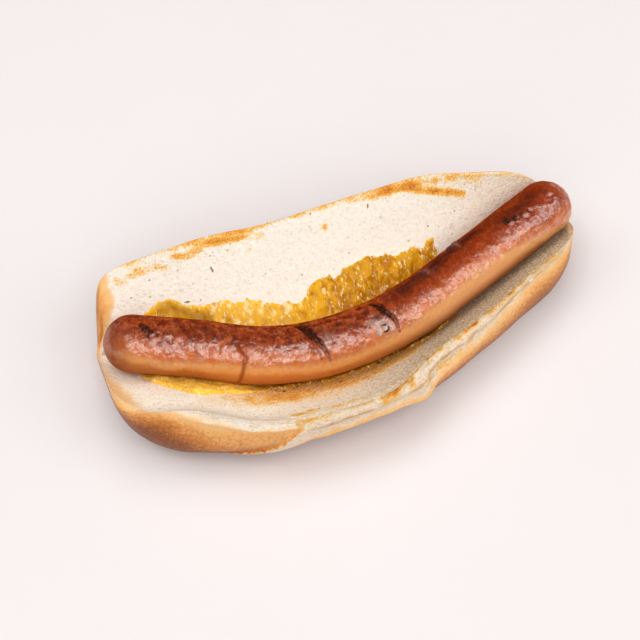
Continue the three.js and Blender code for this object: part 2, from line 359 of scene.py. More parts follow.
class Shader:
    """A material's node tree, with short ways to add nodes and join them."""

    def __init__(self, name):
        self.material = bpy.data.materials.new(name)
        self.material.use_nodes = True
        self.tree = self.material.node_tree
        self.tree.nodes.clear()
        output = self.tree.nodes.new("ShaderNodeOutputMaterial")
        self.surface = self.tree.nodes.new("ShaderNodeBsdfPrincipled")
        self.tree.links.new(self.surface.outputs[0], output.inputs[0])
        coordinates = self.tree.nodes.new("ShaderNodeTexCoord")
        self.millimetres = self.vector("SCALE", coordinates.outputs["Object"], scale=1000.0)

    def put(self, socket, value):
        """Joins a socket to a value, or sets it to a plain number or colour."""
        if isinstance(value, Value):
            value = value.socket
        if isinstance(value, bpy.types.NodeSocket):
            self.tree.links.new(value, socket)
        elif socket.type == "RGBA":
            socket.default_value = (*value[:3], 1)
        else:
            socket.default_value = value

    def vector(self, operation, a, b=None, scale=None):
        node = self.tree.nodes.new("ShaderNodeVectorMath")
        node.operation = operation
        self.put(node.inputs[0], a)
        if b is not None:
            self.put(node.inputs[1], b)
        if scale is not None:
            self.put(node.inputs["Scale"], scale)
        return node.outputs[0]

    def math(self, operation, a, b):
        node = self.tree.nodes.new("ShaderNodeMath")
        node.operation = operation
        self.put(node.inputs[0], a)
        self.put(node.inputs[1], b)
        return Value(self, node.outputs[0])

    def most(self, a, b):
        return self.math("MAXIMUM", a, b)

    def rise(self, value, low, high, to=(0.0, 1.0)):
        """Maps low to high onto a soft rise between two values."""
        node = self.tree.nodes.new("ShaderNodeMapRange")
        node.interpolation_type = "SMOOTHSTEP"
        for name, number in (
            ("Value", value), ("From Min", low), ("From Max", high), ("To Min", to[0]), ("To Max", to[1])
        ):
            self.put(node.inputs[name], number)
        return Value(self, node.outputs[0])

    def mark(self, name):
        node = self.tree.nodes.new("ShaderNodeAttribute")
        node.attribute_name = name
        return Value(self, node.outputs["Fac"])

    def noise(self, size, detail=2.0, roughness=0.5, stretch=None):
        """Cloud noise with features of about that size in millimetres."""
        node = self.tree.nodes.new("ShaderNodeTexNoise")
        place = self.millimetres if stretch is None else self.vector("MULTIPLY", self.millimetres, stretch)
        self.put(node.inputs["Vector"], place)
        for name, number in (("Scale", 1 / size), ("Detail", detail), ("Roughness", roughness)):
            self.put(node.inputs[name], number)
        return Value(self, node.outputs["Fac"])

    def strands(self, across, length, width):
        """Noise drawn out along the bun: strands that long and wide in millimetres, side by side across a
        mark."""
        split = self.tree.nodes.new("ShaderNodeSeparateXYZ")
        self.put(split.inputs[0], self.millimetres)
        join = self.tree.nodes.new("ShaderNodeCombineXYZ")
        self.put(join.inputs[0], Value(self, split.outputs[0]) / length)
        self.put(join.inputs[1], across / width)
        node = self.tree.nodes.new("ShaderNodeTexNoise")
        self.put(node.inputs["Vector"], join.outputs[0])
        for name, number in (("Scale", 1.0), ("Detail", 3.0), ("Roughness", 0.6)):
            self.put(node.inputs[name], number)
        return Value(self, node.outputs["Fac"])

    def cells(self, size, smoothness=None):
        """Distance to the nearest of points scattered that far apart, and that point's own random value."""
        node = self.tree.nodes.new("ShaderNodeTexVoronoi")
        self.put(node.inputs["Vector"], self.millimetres)
        self.put(node.inputs["Scale"], 1 / size)
        if smoothness is not None:
            node.feature = "SMOOTH_F1"
            self.put(node.inputs["Smoothness"], smoothness)
        split = self.tree.nodes.new("ShaderNodeSeparateColor")
        self.tree.links.new(node.outputs["Color"], split.inputs[0])
        return Value(self, node.outputs["Distance"]), Value(self, split.outputs[0])

    def blend(self, share, a, b):
        node = self.tree.nodes.new("ShaderNodeMix")
        node.data_type = "RGBA"
        self.put(node.inputs[0], share)
        self.put(node.inputs[6], a)
        self.put(node.inputs[7], b)
        return node.outputs[2]

    def over(self, share, colour, *shown):
        """Lays a colour, given as it looks on screen, over another by a share."""
        return self.blend(share, colour, display(*shown))

    def ramp(self, value, stops):
        """A scale of colours: places from 0 to 1, each with a colour as it looks on screen or a setting."""
        node = self.tree.nodes.new("ShaderNodeValToRGB")
        self.put(node.inputs[0], value)
        elements = node.color_ramp.elements
        while len(elements) < len(stops):
            elements.new(0.5)
        for element, (place, *colour) in zip(elements, stops):
            element.position = place
            element.color = (*(colour[0] if len(colour) == 1 else display(*colour)), 1)
        return node.outputs[0]

    def bump(self, height, depth):
        """Raises the surface by height times depth in millimetres."""
        node = self.tree.nodes.new("ShaderNodeBump")
        self.put(node.inputs["Height"], height)
        self.put(node.inputs["Distance"], depth * MM)
        return node.outputs[0]

    def finish(self, **sockets):
        for name, value in sockets.items():
            self.put(self.surface.inputs[name.replace("_", " ").title().replace("Ior", "IOR")], value)
        return self.material


def bread_material(settings):
    """Fine cream crumb with painted shade in its pores, holes, grooves and furrows and over its shaded low
    face, golden crust that darkens away from the torn band and, partly by painted shade, towards the floor,
    and toasted places.
    """
    s = Shader("Bread")
    grain = s.noise(0.6, 3, 0.65)
    middle = s.noise(1.5, 3, 0.6)
    broad = s.noise(11.0, 2, 0.5)
    pore, pick = s.cells(1.5)
    pores = s.rise(pore, 0.6, 0.1) * s.rise(pick, 0.45, 0.8)
    coarse_and_shade, ridge = s.mark("coarse_and_shade"), s.mark("ridge")
    strands = s.strands(s.mark("past"), 7.0, 0.7)

    crumb = s.blend(s.rise(middle, 0.32, 0.68), settings.crumb_shade, settings.crumb)
    crumb = s.blend(s.rise(broad, 0.45, 0.75, (0.0, 0.4)), crumb, settings.crumb_shade)
    # Painted shade colour: a warmer tint over the shaded low face and the high face's right end.
    crumb = s.over(s.mark("warm_shade_tint") * 0.6, crumb, 251, 225, 190)
    # Coarse open crumb on the low face: real grain, with painted shade in its pits and a painted shadow of
    # the sausage, darker towards its right.
    sand = s.noise(0.95, 3, 0.6)
    sandy_and_shade = s.ramp(
        sand, ((0.35, 112, 84, 56), (0.44, 188, 160, 124), (0.55, 220, 196, 162), (0.68, 246, 228, 198))
    )
    crumb = s.blend(coarse_and_shade, crumb, sandy_and_shade)
    crumb = s.over(s.mark("warm_shade_tint") * s.rise(sand, 0.5, 0.36, (0.0, 0.55)), crumb, 226, 190, 142)
    # Painted shade in the pores and in the low dips of the fine sand relief.
    pit_shade = pores * 0.12 + s.rise(sand, 0.44, 0.32, (0.0, 0.26))
    crumb = s.over(pit_shade, crumb, 198, 180, 150)
    # Painted shade in the larger holes of the crumb.
    hole, chosen = s.cells(4.6)
    hole_shade = s.rise(hole, 0.32, 0.1) * s.rise(chosen, 0.62, 0.8, (0.0, 0.3))
    crumb = s.over(hole_shade, crumb, 204, 180, 144)
    # Painted shade in the fine grooves along the torn ridge, where its strands dip.
    lines = ridge * s.rise(strands, 0.5, 0.36)
    crumb = s.over(lines * 0.4, crumb, 222, 184, 134)
    # Darker colour in the furrows between the rolls: partly toasted, partly painted shade.
    crumb = s.over(s.mark("furrow_shade"), crumb, 206, 150, 92)

    drawn = s.noise(2.4, 3, 0.6, stretch=(0.4, 1.0, 1.0))
    rough = grain * 0.68 + drawn * 0.32
    rough = (rough - 0.5) * 2.0
    toast = s.mark("toast")
    singed = s.mark("singed") * s.rise(strands, 0.38, 0.62, (0.45, 1.0))
    toasted = s.most(toast, singed)
    toasted += rough * s.rise(toasted, 0.0, 0.35)
    grit = (0.5 - sand) * s.rise(coarse_and_shade, 0.0, 0.5, (0.5, 1.0))
    toasted += grit * s.rise(toasted, 0.05, 0.4)
    toasted = (toasted + (broad - 0.5) * s.rise(toast, 0.0, 0.3, (0.0, 0.5))).clamped()
    stops = ((0.0, 251, 228, 176), (0.28, 248, 202, 104), (0.58, 238, 162, 58), (1.0, 188, 100, 30))
    browning = s.ramp(toasted, stops)
    crumb = s.blend(s.rise(toasted, 0.06, 0.4), crumb, browning)
    stain = s.mark("stain") * s.rise(rough, -0.5, 0.4, (0.45, 1.0))
    crumb = s.blend(
        stain, crumb, s.blend(s.rise(sand, 0.4, 0.6), display(206, 132, 26), display(242, 184, 78))
    )

    baked = s.mark("baked") + (middle - 0.5) * 0.2
    peel = (s.noise(1.1, 2, 0.5) - 0.5) * 0.4 + (grain - 0.5) * 0.26
    peel *= s.rise(s.mark("warm_shade_tint"), 0.1, 0.6, (0.45, 1.0))
    baked += peel
    baked = (baked + (broad - 0.5) * 0.12).clamped()
    stops = (
        (0.0, 250, 230, 202), (0.22, 242, 202, 148), (0.45, settings.crust), (0.72, 206, 126, 48),
        (1.0, 132, 66, 12)
    )
    crust = s.ramp(baked, stops)
    crust = s.blend(s.rise(toasted, 0.1, 0.5), crust, browning)
    skinned = s.rise(s.mark("crust"), 0.1, 0.9) * s.rise(s.mark("baked"), 0.04, 0.24)
    colour = s.blend(skinned, crumb, crust)

    fibre = (s.noise(0.9, 4, 0.7, stretch=(0.3, 1.0, 1.0)) - 0.5) * s.mark("band")
    fibre += (strands - 0.5) * ridge
    open_height = (grain - 0.5) * 0.6
    open_height += (sand - 0.5) * (0.3 + coarse_and_shade * 2.2)
    open_height += (middle - 0.5) * 0.6
    open_height -= pores * 0.25
    open_height += fibre
    skin = s.noise(0.9, 3, 0.55) * 0.4 + s.noise(3.0, 2, 0.5) * 0.5
    skin -= 0.45
    height = open_height * s.rise(skinned, 0.0, 1.0, (1.0, 0.0)) + skin * skinned
    return s.finish(
        base_color=colour,
        roughness=s.rise(skinned, 0.0, 1.0, (0.95, 0.55)),
        normal=s.bump(height, 0.6),
        subsurface_weight=0.06,
        subsurface_radius=(1.0, 0.8, 0.6),
        subsurface_scale=0.0008,
        sheen_weight=0.1,
        sheen_roughness=0.6,
        specular_ior_level=0.25,
    )


def sausage_material(settings):
    """Greasy grilled skin: tan below, with painted shade towards the bottom and a partly painted glint line
    along its top, orange red to mahogany on top, with burnt blisters and dark creases.
    """
    s = Shader("Grilled skin")
    patch = s.noise(6.0, 4, 0.6)
    mottle = s.noise(2.1, 4, 0.65, stretch=(1.0, 0.7, 0.7))
    streak = s.noise(3.0, 4, 0.6, stretch=(0.55, 1.0, 1.0))
    fine = s.noise(0.5, 3, 0.6)
    left = s.mark("left")
    ragged = (patch - 0.5) * 0.55 + (mottle - 0.5) * 0.7
    tone = (s.mark("tone") + ragged).clamped()
    tan = s.blend(s.rise(patch, 0.3, 0.7), settings.tan, display(216, 134, 68))
    tan = s.over((0.8 - left).clamped(), tan, 238, 172, 118)
    tan = s.over(s.rise(mottle, 0.56, 0.75, (0.0, 0.4)), tan, 196, 112, 54)
    # Painted shade: the tan darkens towards the bottom, where the sausage sinks into the bun.
    tan = s.over(s.mark("belly_shade"), tan, 150, 82, 38)
    red = s.blend(s.rise(streak * 0.5 + patch * 0.5, 0.38, 0.62), settings.grilled, settings.grilled_light)
    red = s.over((0.7 - left).clamped(), red, 150, 50, 4)
    red = s.over(s.rise(mottle, 0.5, 0.64) * s.rise(left, 0.0, 1.0, (0.22, 0.55)), red, 204, 106, 54)
    red = s.over(s.rise(mottle, 0.48, 0.36) * s.rise(left, 0.0, 1.0, (0.4, 0.65)), red, 72, 20, 8)
    calm = s.mark("tone") + ragged * 0.35
    # A pale band along the top of the tan: partly paler skin, partly a painted glint line.
    edge = s.rise(calm, 0.04, 0.2) * s.rise(calm, 0.42, 0.24, (0.0, 0.6))
    colour = s.over(s.rise(calm, 0.26, 0.5), tan, 206, 108, 46)
    colour = s.over(edge, colour, 236, 168, 98)
    colour = s.blend(s.rise(tone, 0.44, 0.88), colour, red)
    uneven = patch * 0.45 + streak * 0.55 - 0.5
    scorched = s.mark("scorch") + uneven * s.rise(left, 0.0, 1.0, (1.1, 2.4))
    colour = s.over(s.rise(scorched, 0.28, 0.85, (0.0, 0.85)), colour, 58, 18, 12)
    colour = s.blend(
        s.mark("dull"), colour,
        s.blend(s.rise(mottle, 0.35, 0.65), display(128, 62, 42), display(158, 84, 56))
    )
    colour = s.over(s.rise(s.mark("crease"), 0.0, 0.55), colour, 136, 56, 22)
    colour = s.over(s.rise(s.mark("crease"), 0.5, 1.0), colour, 48, 14, 8)
    colour = s.over(s.mark("ash") * s.rise(mottle, 0.38, 0.62, (0.25, 1.0)), colour, 168, 160, 152)
    burnt = s.rise(s.mark("char") + (mottle - 0.5) * 1.1, 0.3, 0.7)
    colour = s.blend(
        burnt, colour, s.blend(s.rise(fine, 0.4, 0.62), display(30, 14, 10), display(92, 42, 24))
    )
    freckle, pick = s.cells(2.8)
    freckles = s.rise(freckle, 0.15, 0.06) * s.rise(pick, 0.6, 0.66)
    colour = s.over(freckles * 0.6, colour, 110, 44, 22)

    dimple, _ = s.cells(2.6, 0.6)
    flecks = s.noise(1.5, 3, 0.6, stretch=(1.0, 0.6, 0.6))
    height = flecks * 0.75 + s.noise(0.7, 3, 0.6) * 0.16
    height += s.noise(3.4, 2, 0.5) * 1.2
    height -= dimple * 0.5
    height *= s.rise(s.mark("dull"), 0.0, 1.0, (1.0, 0.4))
    height *= s.rise(calm, 0.1, 0.5, (0.35, 1.0))
    sheen = (1.0 - (s.most(s.mark("crease"), burnt * 0.7) + s.mark("dull") * 0.4)).clamped()
    grease = s.rise(s.noise(2.4, 4, 0.65), 0.4, 0.52, (0.25, 1.0))
    grease = s.most(grease, 0.4 - left)
    grease *= s.rise(calm, 0.1, 0.42, (0.12, 1.0))
    sheen *= s.mark("greasy") * grease
    relief = s.bump(height, 0.55)
    return s.finish(
        base_color=colour,
        roughness=s.rise(s.mark("dull") + s.mark("crease"), 0.0, 1.0, (0.42, 0.6)),
        normal=relief,
        coat_weight=sheen,
        coat_roughness=0.16,
        coat_ior=2.4,
        coat_normal=relief,
        subsurface_weight=0.06,
        subsurface_radius=(1.0, 0.35, 0.15),
        subsurface_scale=0.0012,
        specular_ior_level=0.0,
    )


def mustard_material(settings):
    """Wet mustard: bright ochre, paler where it lies thin and, as painted light, on the low face's left bead,
    with painted shade in its hollows and painted glints.
    """
    s = Shader("Mustard")
    middle = s.noise(2.6, 4, 0.6)
    streak = s.noise(3.0, 3, 0.55, stretch=(1.0, 0.4, 0.4))
    fine = s.noise(0.6, 3, 0.6)
    # Painted shade in the hollows and folds: darker ochre.
    hollow_shade = s.mark("hollow_shade") + s.rise(streak, 0.52, 0.3, (0.0, 0.7))
    hollow_shade = (hollow_shade + s.mark("deep")).clamped()
    colour = s.blend(hollow_shade, settings.mustard, settings.mustard_deep)
    colour = s.over(s.rise(middle, 0.55, 0.75, (0.0, 0.5)), colour, 242, 186, 50)
    # Paler where it lies thin on the high face; on the low face's left bead the same pale colour is painted
    # light.
    colour = s.over(s.mark("thin") * s.rise(fine, 0.35, 0.6, (0.4, 1.0)), colour, 252, 206, 84)
    islands = (s.noise(2.0, 3, 0.55) - 0.5) * 2.6
    # Pale cream patches where it lies thin.
    pale_patch = s.rise(s.mark("pale_patch") + islands, 0.6, 1.0, (0.0, 0.75))
    colour = s.over(pale_patch * s.rise(s.mark("pale_patch"), 0.02, 0.3), colour, 252, 226, 164)
    colour = s.over(s.mark("olive") * 0.85, colour, 164, 112, 18)
    # Painted glints: small pale highlights laid into the colour.
    glint_pattern = s.noise(1.1, 2, 0.5, stretch=(1.3, 0.55, 0.55))
    glints = s.rise(glint_pattern, 0.57, 0.66) * s.rise(s.noise(7.0, 2, 0.5), 0.4, 0.55, (0.3, 0.95))
    colour = s.over(glints * s.rise(s.mark("olive"), 0.5, 0.0), colour, 254, 232, 172)
    speck, pick = s.cells(1.9)
    specks = s.rise(speck, 0.18, 0.07) * s.rise(pick, 0.72, 0.76)
    colour = s.over(specks * 0.7, colour, 140, 80, 20)
    height = s.noise(1.5, 2, 0.5, stretch=(1.0, 0.6, 0.6)) * 0.75 + fine * 0.12
    relief = s.bump(height, 0.6)
    return s.finish(
        base_color=colour,
        roughness=s.rise(middle, 0.3, 0.7, (0.26, 0.4)),
        normal=relief,
        coat_weight=0.3,
        coat_roughness=0.05,
        coat_ior=1.5,
        coat_normal=relief,
        subsurface_weight=0.06,
        subsurface_radius=(1.0, 0.65, 0.15),
        subsurface_scale=0.0010,
        specular_ior_level=0.0,
    )


# Where the bun is baked, torn and toasted. Places are in millimetres from above, in the frame's own axes.

# Where crumb gives way to crust at the two ends of the cut faces: across the bun, along it.
CRUMB_LEFT = (
    (41, -83.5), (32.6, -83.9), (25, -88.9), (20, -94.3), (12, -95.6), (6.7, -95.4), (-1, -92.2),
    (-12, -89), (-22, -85.5), (-30, -78)
)
CRUMB_RIGHT = ((38, 83), (33, 88), (22, 91), (10, 92.5), (0, 92.3), (-5, 90))
# Low half: how far past its cut edge the pale torn band reaches before the crust, left and right of the fold.
TORN_LEFT = ((-92, -9), (-86, -5), (-80, 0), (-74, 4.0), (-68.5, 5.4), (-57.9, 5.2), (-44.5, 4.4), (-35, 5.2))
TORN_RIGHT = (
    (-60, 24), (-44, 22), (-38, 16), (-22, 13), (-6.7, 11), (7.8, 12.5), (15.5, 13), (21, 11.5), (36, 10.1),
    (51, 8.2), (61.7, 6.4), (72.5, 5.4), (83.7, 5.0), (92, 2.0)
)
# The fold between them: how far past the cut edge, place along.
FOLD = ((1, -33.5), (3, -34), (5.2, -35), (8.9, -39.5), (13.2, -43.5), (17.9, -51.6), (24, -62))
# Toasted streaks: path, half width, strength.
TOAST = (
    # high half: the streaks along its outer edge
    (((-80, 37.5), (-74, 38), (-68, 37)), 2.6, 0.45),
    (((-69, 38.2), (-64, 36), (-61, 34.6)), 2.0, 0.6),
    (((-61, 38.2), (-55, 37.3), (-49, 36.7)), 2.4, 0.85),
    (((-52, 40), (-42.6, 38.4), (-33, 36.5)), 2.6, 0.9),
    (((-33, 36.5), (-28, 35.6), (-24, 34.6)), 2.6, 0.6),
    (((-33, 38.5), (-20, 38.2), (-4, 38.6)), 1.8, 0.55),
    (((-31.5, 31.8), (-30, 31.8)), 1.2, 0.6),
    (((-1.4, 31.9), (1.2, 31.5)), 2.2, 0.8),
    (((8, 38), (14, 37.6), (21, 37.3)), 1.8, 0.5),
    (((20, 37.2), (27, 37.8), (34, 38), (42, 38.2), (48, 37.6)), 2.6, 1.0),
    (((35, 36.8), (45, 34.5), (53, 32.7), (58, 31.1)), 2.1, 1.05),
    (((48, 37.6), (58, 36.4), (70, 34)), 4.2, 0.5),
    (((-84, 39), (-80, 36)), 2.4, 0.4),
    # low half: below the mustard, along the torn ridge and at the fold
    (((-66, -20.5), (-45, -24), (-34, -26), (-23, -28), (-12, -28.5)), 10.5, 0.59),
    (((-46, -24), (-38, -26), (-29, -27)), 5.0, 0.35),
    (((-18, -25.5), (0, -24), (12, -22), (22, -18)), 6.5, 0.66),
    (((-84, -19), (-68, -28), (-57, -32.5), (-46, -38)), 1.5, 0.3),
)
# The toasted rim of the high half: place along, width, strength.
RIM_TOAST = (
    (-90, 2, 0.0), (-76, 3, 0.35), (-62, 3.5, 0.4), (-48, 4.5, 0.6), (-34, 4, 0.6), (-20, 3, 0.5),
    (-5, 3, 0.45), (10, 3.5, 0.5), (24, 5, 0.6), (45, 6, 0.6), (60, 6, 0.45), (78, 5, 0.36), (92, 3, 0.2)
)
# Broken golden strands along the torn ridge of the low half.
SINGED = (
    (((-40, -38.5), (-35, -39.5), (-30, -40.8)), 1.8, 0.5),
    (((-32, -38.6), (-20, -40.5), (-8, -39.5)), 1.8, 0.55),
    (((-38, -43.2), (-29, -43.5), (-18, -43.5), (-9, -43.3)), 1.3, 0.6),
    (((-5, -43.4), (0, -42.4), (3.4, -41), (8, -39)), 2.0, 0.8),
    (((8, -38.2), (12, -35.6), (17, -32.8)), 1.4, 0.55),
    (((17, -32.5), (23, -30), (32, -27), (40, -24)), 1.8, 0.8),
    (((40, -24), (52, -19), (64, -13), (84, -4)), 1.5, 0.75),
    (((12, -39), (24, -34), (38, -28)), 1.6, 0.4),
)
# Mustard that has soaked into the low cut face.
STAIN = (
    (((-84, 0), (-76, -5), (-66, -9)), 3.0, 0.5),
    (((-66, -9), (-55, -13), (-44, -17.5), (-32, -21.5)), 4.0, 0.8),
    (((-32, -21.5), (-14, -25.5), (0, -24), (12, -18.8), (24, -15.8), (36, -12)), 5.0, 1.2),
    (((-50, -17), (-36, -23), (-20, -26), (-4, -26.5)), 7.0, 0.6),
)


# Rows along the bun, points across each cut face, points round each half's crust.
BUN_GRID = (320, 78, 76)


def loaf_grid(rows, cut_columns, crust_columns):
    """The bun's surface as a grid of points, with each point's distance past its half's cut edge."""
    loaf = Loaf(even_stations(rows)[:, None])
    up = np.linspace(0, 1, cut_columns)[None, :]
    down = np.linspace(0, 1, crust_columns)[None, :]
    down = down + 0.4 * np.sin(math.pi * down) / math.pi
    parts = (
        loaf.under(loaf.low, down)[:, :-1],
        loaf.cut(loaf.low, (1 - up) * loaf.low["width"])[:, :-1],
        loaf.cut(loaf.high, up * loaf.high["width"])[:, :-1],
        loaf.under(loaf.high, 1 - down),
    )
    points = np.concatenate(parts, axis=1)
    low_edge, foot = crust_columns - 1, crust_columns + cut_columns - 2
    high_edge = foot + cut_columns - 1
    run = np.concatenate(
        [np.zeros((rows, 1)), np.cumsum(np.linalg.norm(np.diff(points, axis=1), axis=2), axis=1)], axis=1
    )
    past_low = run[:, low_edge : low_edge + 1] - run
    past_high = run - run[:, high_edge : high_edge + 1]
    low_side = np.arange(points.shape[1])[None, :] < foot
    return loaf, points, np.where(low_side, past_low, past_high), np.broadcast_to(low_side, run.shape)


def add_bun(settings):
    """The bun in one mesh, with marks for its colours and relief in its surface."""
    loaf, points, past, low = loaf_grid(*BUN_GRID)
    x, y = points[..., 0], points[..., 1]
    normal = grid_normals(points)
    fade = step(0.1, 0.6, loaf.narrow) * np.ones_like(x)
    ragged = lumps(points, 5.0, 3.0)
    fine = lumps(points, 1.8, 9.0, 2)

    # Crust wraps the outside and rolls over both ends of the cut faces.
    from_left = np.interp(-y, [-p[0] for p in CRUMB_LEFT], [p[1] for p in CRUMB_LEFT]) - x - 1.2
    from_right = x - np.interp(-y, [-p[0] for p in CRUMB_RIGHT], [p[1] for p in CRUMB_RIGHT])
    rolled = np.maximum(from_left, from_right)
    torn_left = np.interp(x, *zip(*TORN_LEFT))
    torn_right = np.interp(x, *zip(*TORN_RIGHT))
    left_of_fold = np.interp(past, *zip(*FOLD)) - x
    soft = 1.0 + 3.6 * step(-52, -70, x)
    # At the low half's far left end the crust darkens: partly browner baking, partly painted shade.
    bake_left = (
        0.5 * step(-1.2, 1.4, (past - torn_left + 0.5 * ragged) / soft)
        + 0.34 * step(1, 22, past - torn_left) + 0.2 * step(-64, -84, x) * step(0, 8, past)
    )
    bake_right = (
        0.45 * step(-4.6, 2.2, past - torn_right + 1.0 * ragged) + 0.42 * step(-1, 10, past - torn_right)
    )
    low_bake = np.where(step(-0.7, 0.7, left_of_fold + 0.5 * fine) > 0.5, bake_left, bake_right)
    end_bake = 0.45 * step(-88, -93, x) + 0.3 * step(86, 94, x)
    # Towards the floor the low half's crust darkens: partly browner baking, partly painted shade.
    low_bake = (
        np.maximum(low_bake, end_bake * step(-0.5, 1.5, past))
        + (0.3 + 0.2 * step(-40, -80, x)) * step(15, 3, points[..., 2])
    )
    high_bake = 0.32 + 0.40 * step(0, 14, past) + 0.06 * ragged
    crust = np.maximum(step(-0.4, 0.3, past), step(-2.0, 2.4, rolled + 0.9 * ragged + 1.2 * fine))
    crust = np.where(low & (x < -60), np.maximum(crust, step(-6, -1, rolled)), crust)
    crust = np.where(low & (x < -70), np.maximum(crust, step(-6, -2, past)), crust)
    band = np.where(low, step(-0.3, 0.5, past) * step(0.3, 0.1, low_bake), 0)
    reaches_in = 5.0 * step(-74, -86, x)
    baked = np.where(low, low_bake * step(-0.4 - reaches_in, 0.3, past), high_bake * step(-0.4, 0.3, past))
    roll_bake = (0.26 + 0.4 * step(0, 7, rolled)) * step(-1.6, 1.0, rolled + 0.8 * fine)
    baked = np.maximum(baked, np.where(low, 0.36 * step(-6.0, 7.0, rolled + ragged), roll_bake))
    # Both halves have the same colour where they meet underneath.
    column = np.arange(points.shape[1])
    meeting = step(26, 0, np.minimum(column, column[-1] - column))[None, :]
    baked = baked + meeting * (0.68 - baked) * crust
    baked = baked + 0.04 * ragged * crust
    # Coarse crumb, and the painted shadow of the sausage, on the low face's right part.
    coarse_and_shade = np.where(low, step(-36, 32, x), 0.22 * step(30, 80, x)) * step(0.2, -1.2, past)
    # The warmer tint of the shaded faces is painted shade colour.
    warm_shade_tint = np.where(low, 0.5 + 0.5 * step(-60, -30, x), 0.1 + 0.4 * step(50, 90, x))
    ridge_mark = np.where(
        low, step(-6, -2, past) * step(15, 9, past) * step(-80, -68, x) * step(94, 84, x), 0
    )

    toast = 0.74 * strokes(points, TOAST, 0.6) * (0.95 + 0.45 * ragged)
    rim_x, rim_width, rim_strength = zip(*RIM_TOAST)
    rim_width = np.interp(x, rim_x, rim_width) * (1 + 0.5 * ragged)
    rim_toast = 0.75 * np.interp(x, rim_x, rim_strength) * step(-1.0, -0.1, past / rim_width)
    rim_toast *= 1 + 0.5 * ragged
    toast = np.maximum(toast, np.where(low, 0, rim_toast)) * step(3.0, 0.6, past)
    singed = np.where(low, strokes(points, SINGED) * (0.8 + 0.9 * ragged), 0) * step(11, 8, past)
    stain = strokes(points, STAIN) * (past < 0)

    # Relief: soft crumb, the torn ridge and its groove, wrinkles in the band, the fold and the buckled pinch.
    face = step(0.3, -0.5, past) * (1 - crust)
    height = face * (0.14 * lumps(points, 11.0, 1.0) + 0.08 * fine)
    height += np.where(low, 1.7 * bell(past + 6, 6.0) * step(-94, -84, x) * step(-30, -52, x) * (past < 3), 0)
    height += (1 - face) * 0.22 * lumps(points, 16.0, 5.0)
    ridge = np.where(low, bell(past + 0.7, 1.3), 0)
    height += ridge * step(-48, -36, x) * (0.45 + 0.5 * ragged)
    groove = np.where(
        low & (x < -36), bell(past - torn_left, 0.75) * step(-82, -72, x) * step(-36, -40, x), 0
    )
    height -= 0.9 * groove
    left_band = np.where(low & (x < -36), bell(past - 0.5 * torn_left, 1.2) * step(-82, -72, x), 0)
    height += 0.35 * left_band
    fibres = lumps(points, 1.9, 4.0, 4, stretch=(0.3, 1.0, 1.0))
    height += band * step(-42, -30, x) * 0.55 * fibres
    crease = np.where(low, bell(left_of_fold, 0.9) * step(4, 6, past) * step(26, 18, past), 0)
    raised = np.where(
        low,
        step(-0.5, 0.6, left_of_fold) * step(14, 2, left_of_fold) * step(2, 6, past) * step(28, 18, past), 0
    )
    height += 1.0 * raised - 0.8 * crease
    pinch = np.where(low, bell(x - 12, 5.5) * bell(past - 11, 7.0), 0)
    height -= 2.6 * pinch
    buckles = np.where(low, bell(past - 4, 5.0) * step(-10, 4, x) * step(44, 26, x), 0)
    height += 0.8 * buckles * lumps(points, 3.4, 7.0, 3, stretch=(0.45, 1.0, 1.0))
    # Right of the fold the torn band stands out as two rolls, with a furrow between them and one below.
    right_band = np.where(low, step(-34, -26, x) * step(92, 84, x), 0)
    wavering = past + 1.0 * lumps(points, 12.0, 14.0, 3, stretch=(1.0, 0.5, 0.5))
    between_rolls = bell(wavering - 0.42 * torn_right, 0.9)
    below_rolls = bell(wavering - torn_right - 0.5, 1.1) * step(64, 20, x)
    height += right_band * (
        0.7 * bell(wavering - 0.16 * torn_right, 1.5) + 0.9 * bell(wavering - 0.72 * torn_right, 2.0)
    )
    height -= right_band * (0.9 * between_rolls + 1.0 * below_rolls)
    # The colour in the furrows is partly toasted, partly painted shade.
    furrow_shade = right_band * (0.8 * between_rolls * step(-0.5, 0.5, ragged + 0.3) + 0.45 * below_rolls)
    # The rolled ends of the cut faces bend down to the crust.
    height -= 0.05 * np.clip(rolled + 1.5, 0, 7) ** 2 * step(-0.3, -6, past)
    points = points + normal * (height * fade)[..., None]
    points = kept_inside(points)
    rim = np.maximum(bell(past, 1.6), np.where(low, bell(past, 4.5) * step(-36, -50, x), 0))
    marks = {
        "crust": crust, "band": band, "ridge": ridge_mark, "past": np.clip(past, -20, 30), "furrow_shade": furrow_shade,
        "baked": np.clip(baked, 0, 1), "coarse_and_shade": coarse_and_shade, "warm_shade_tint": warm_shade_tint, "toast": np.clip(toast, 0, 1.2),
        "singed": np.clip(singed, 0, 1.2), "stain": np.clip(stain, 0, 1), "rim": rim,
    }
    obj = wrapped_grid("split_bun", points, marks)
    soften(obj, "rim", factor=0.5, repeat=8)
    finish_piece(obj, bread_material(settings), "bun")


# The sausage. Places along it are in millimetres from the centre of its left round end.

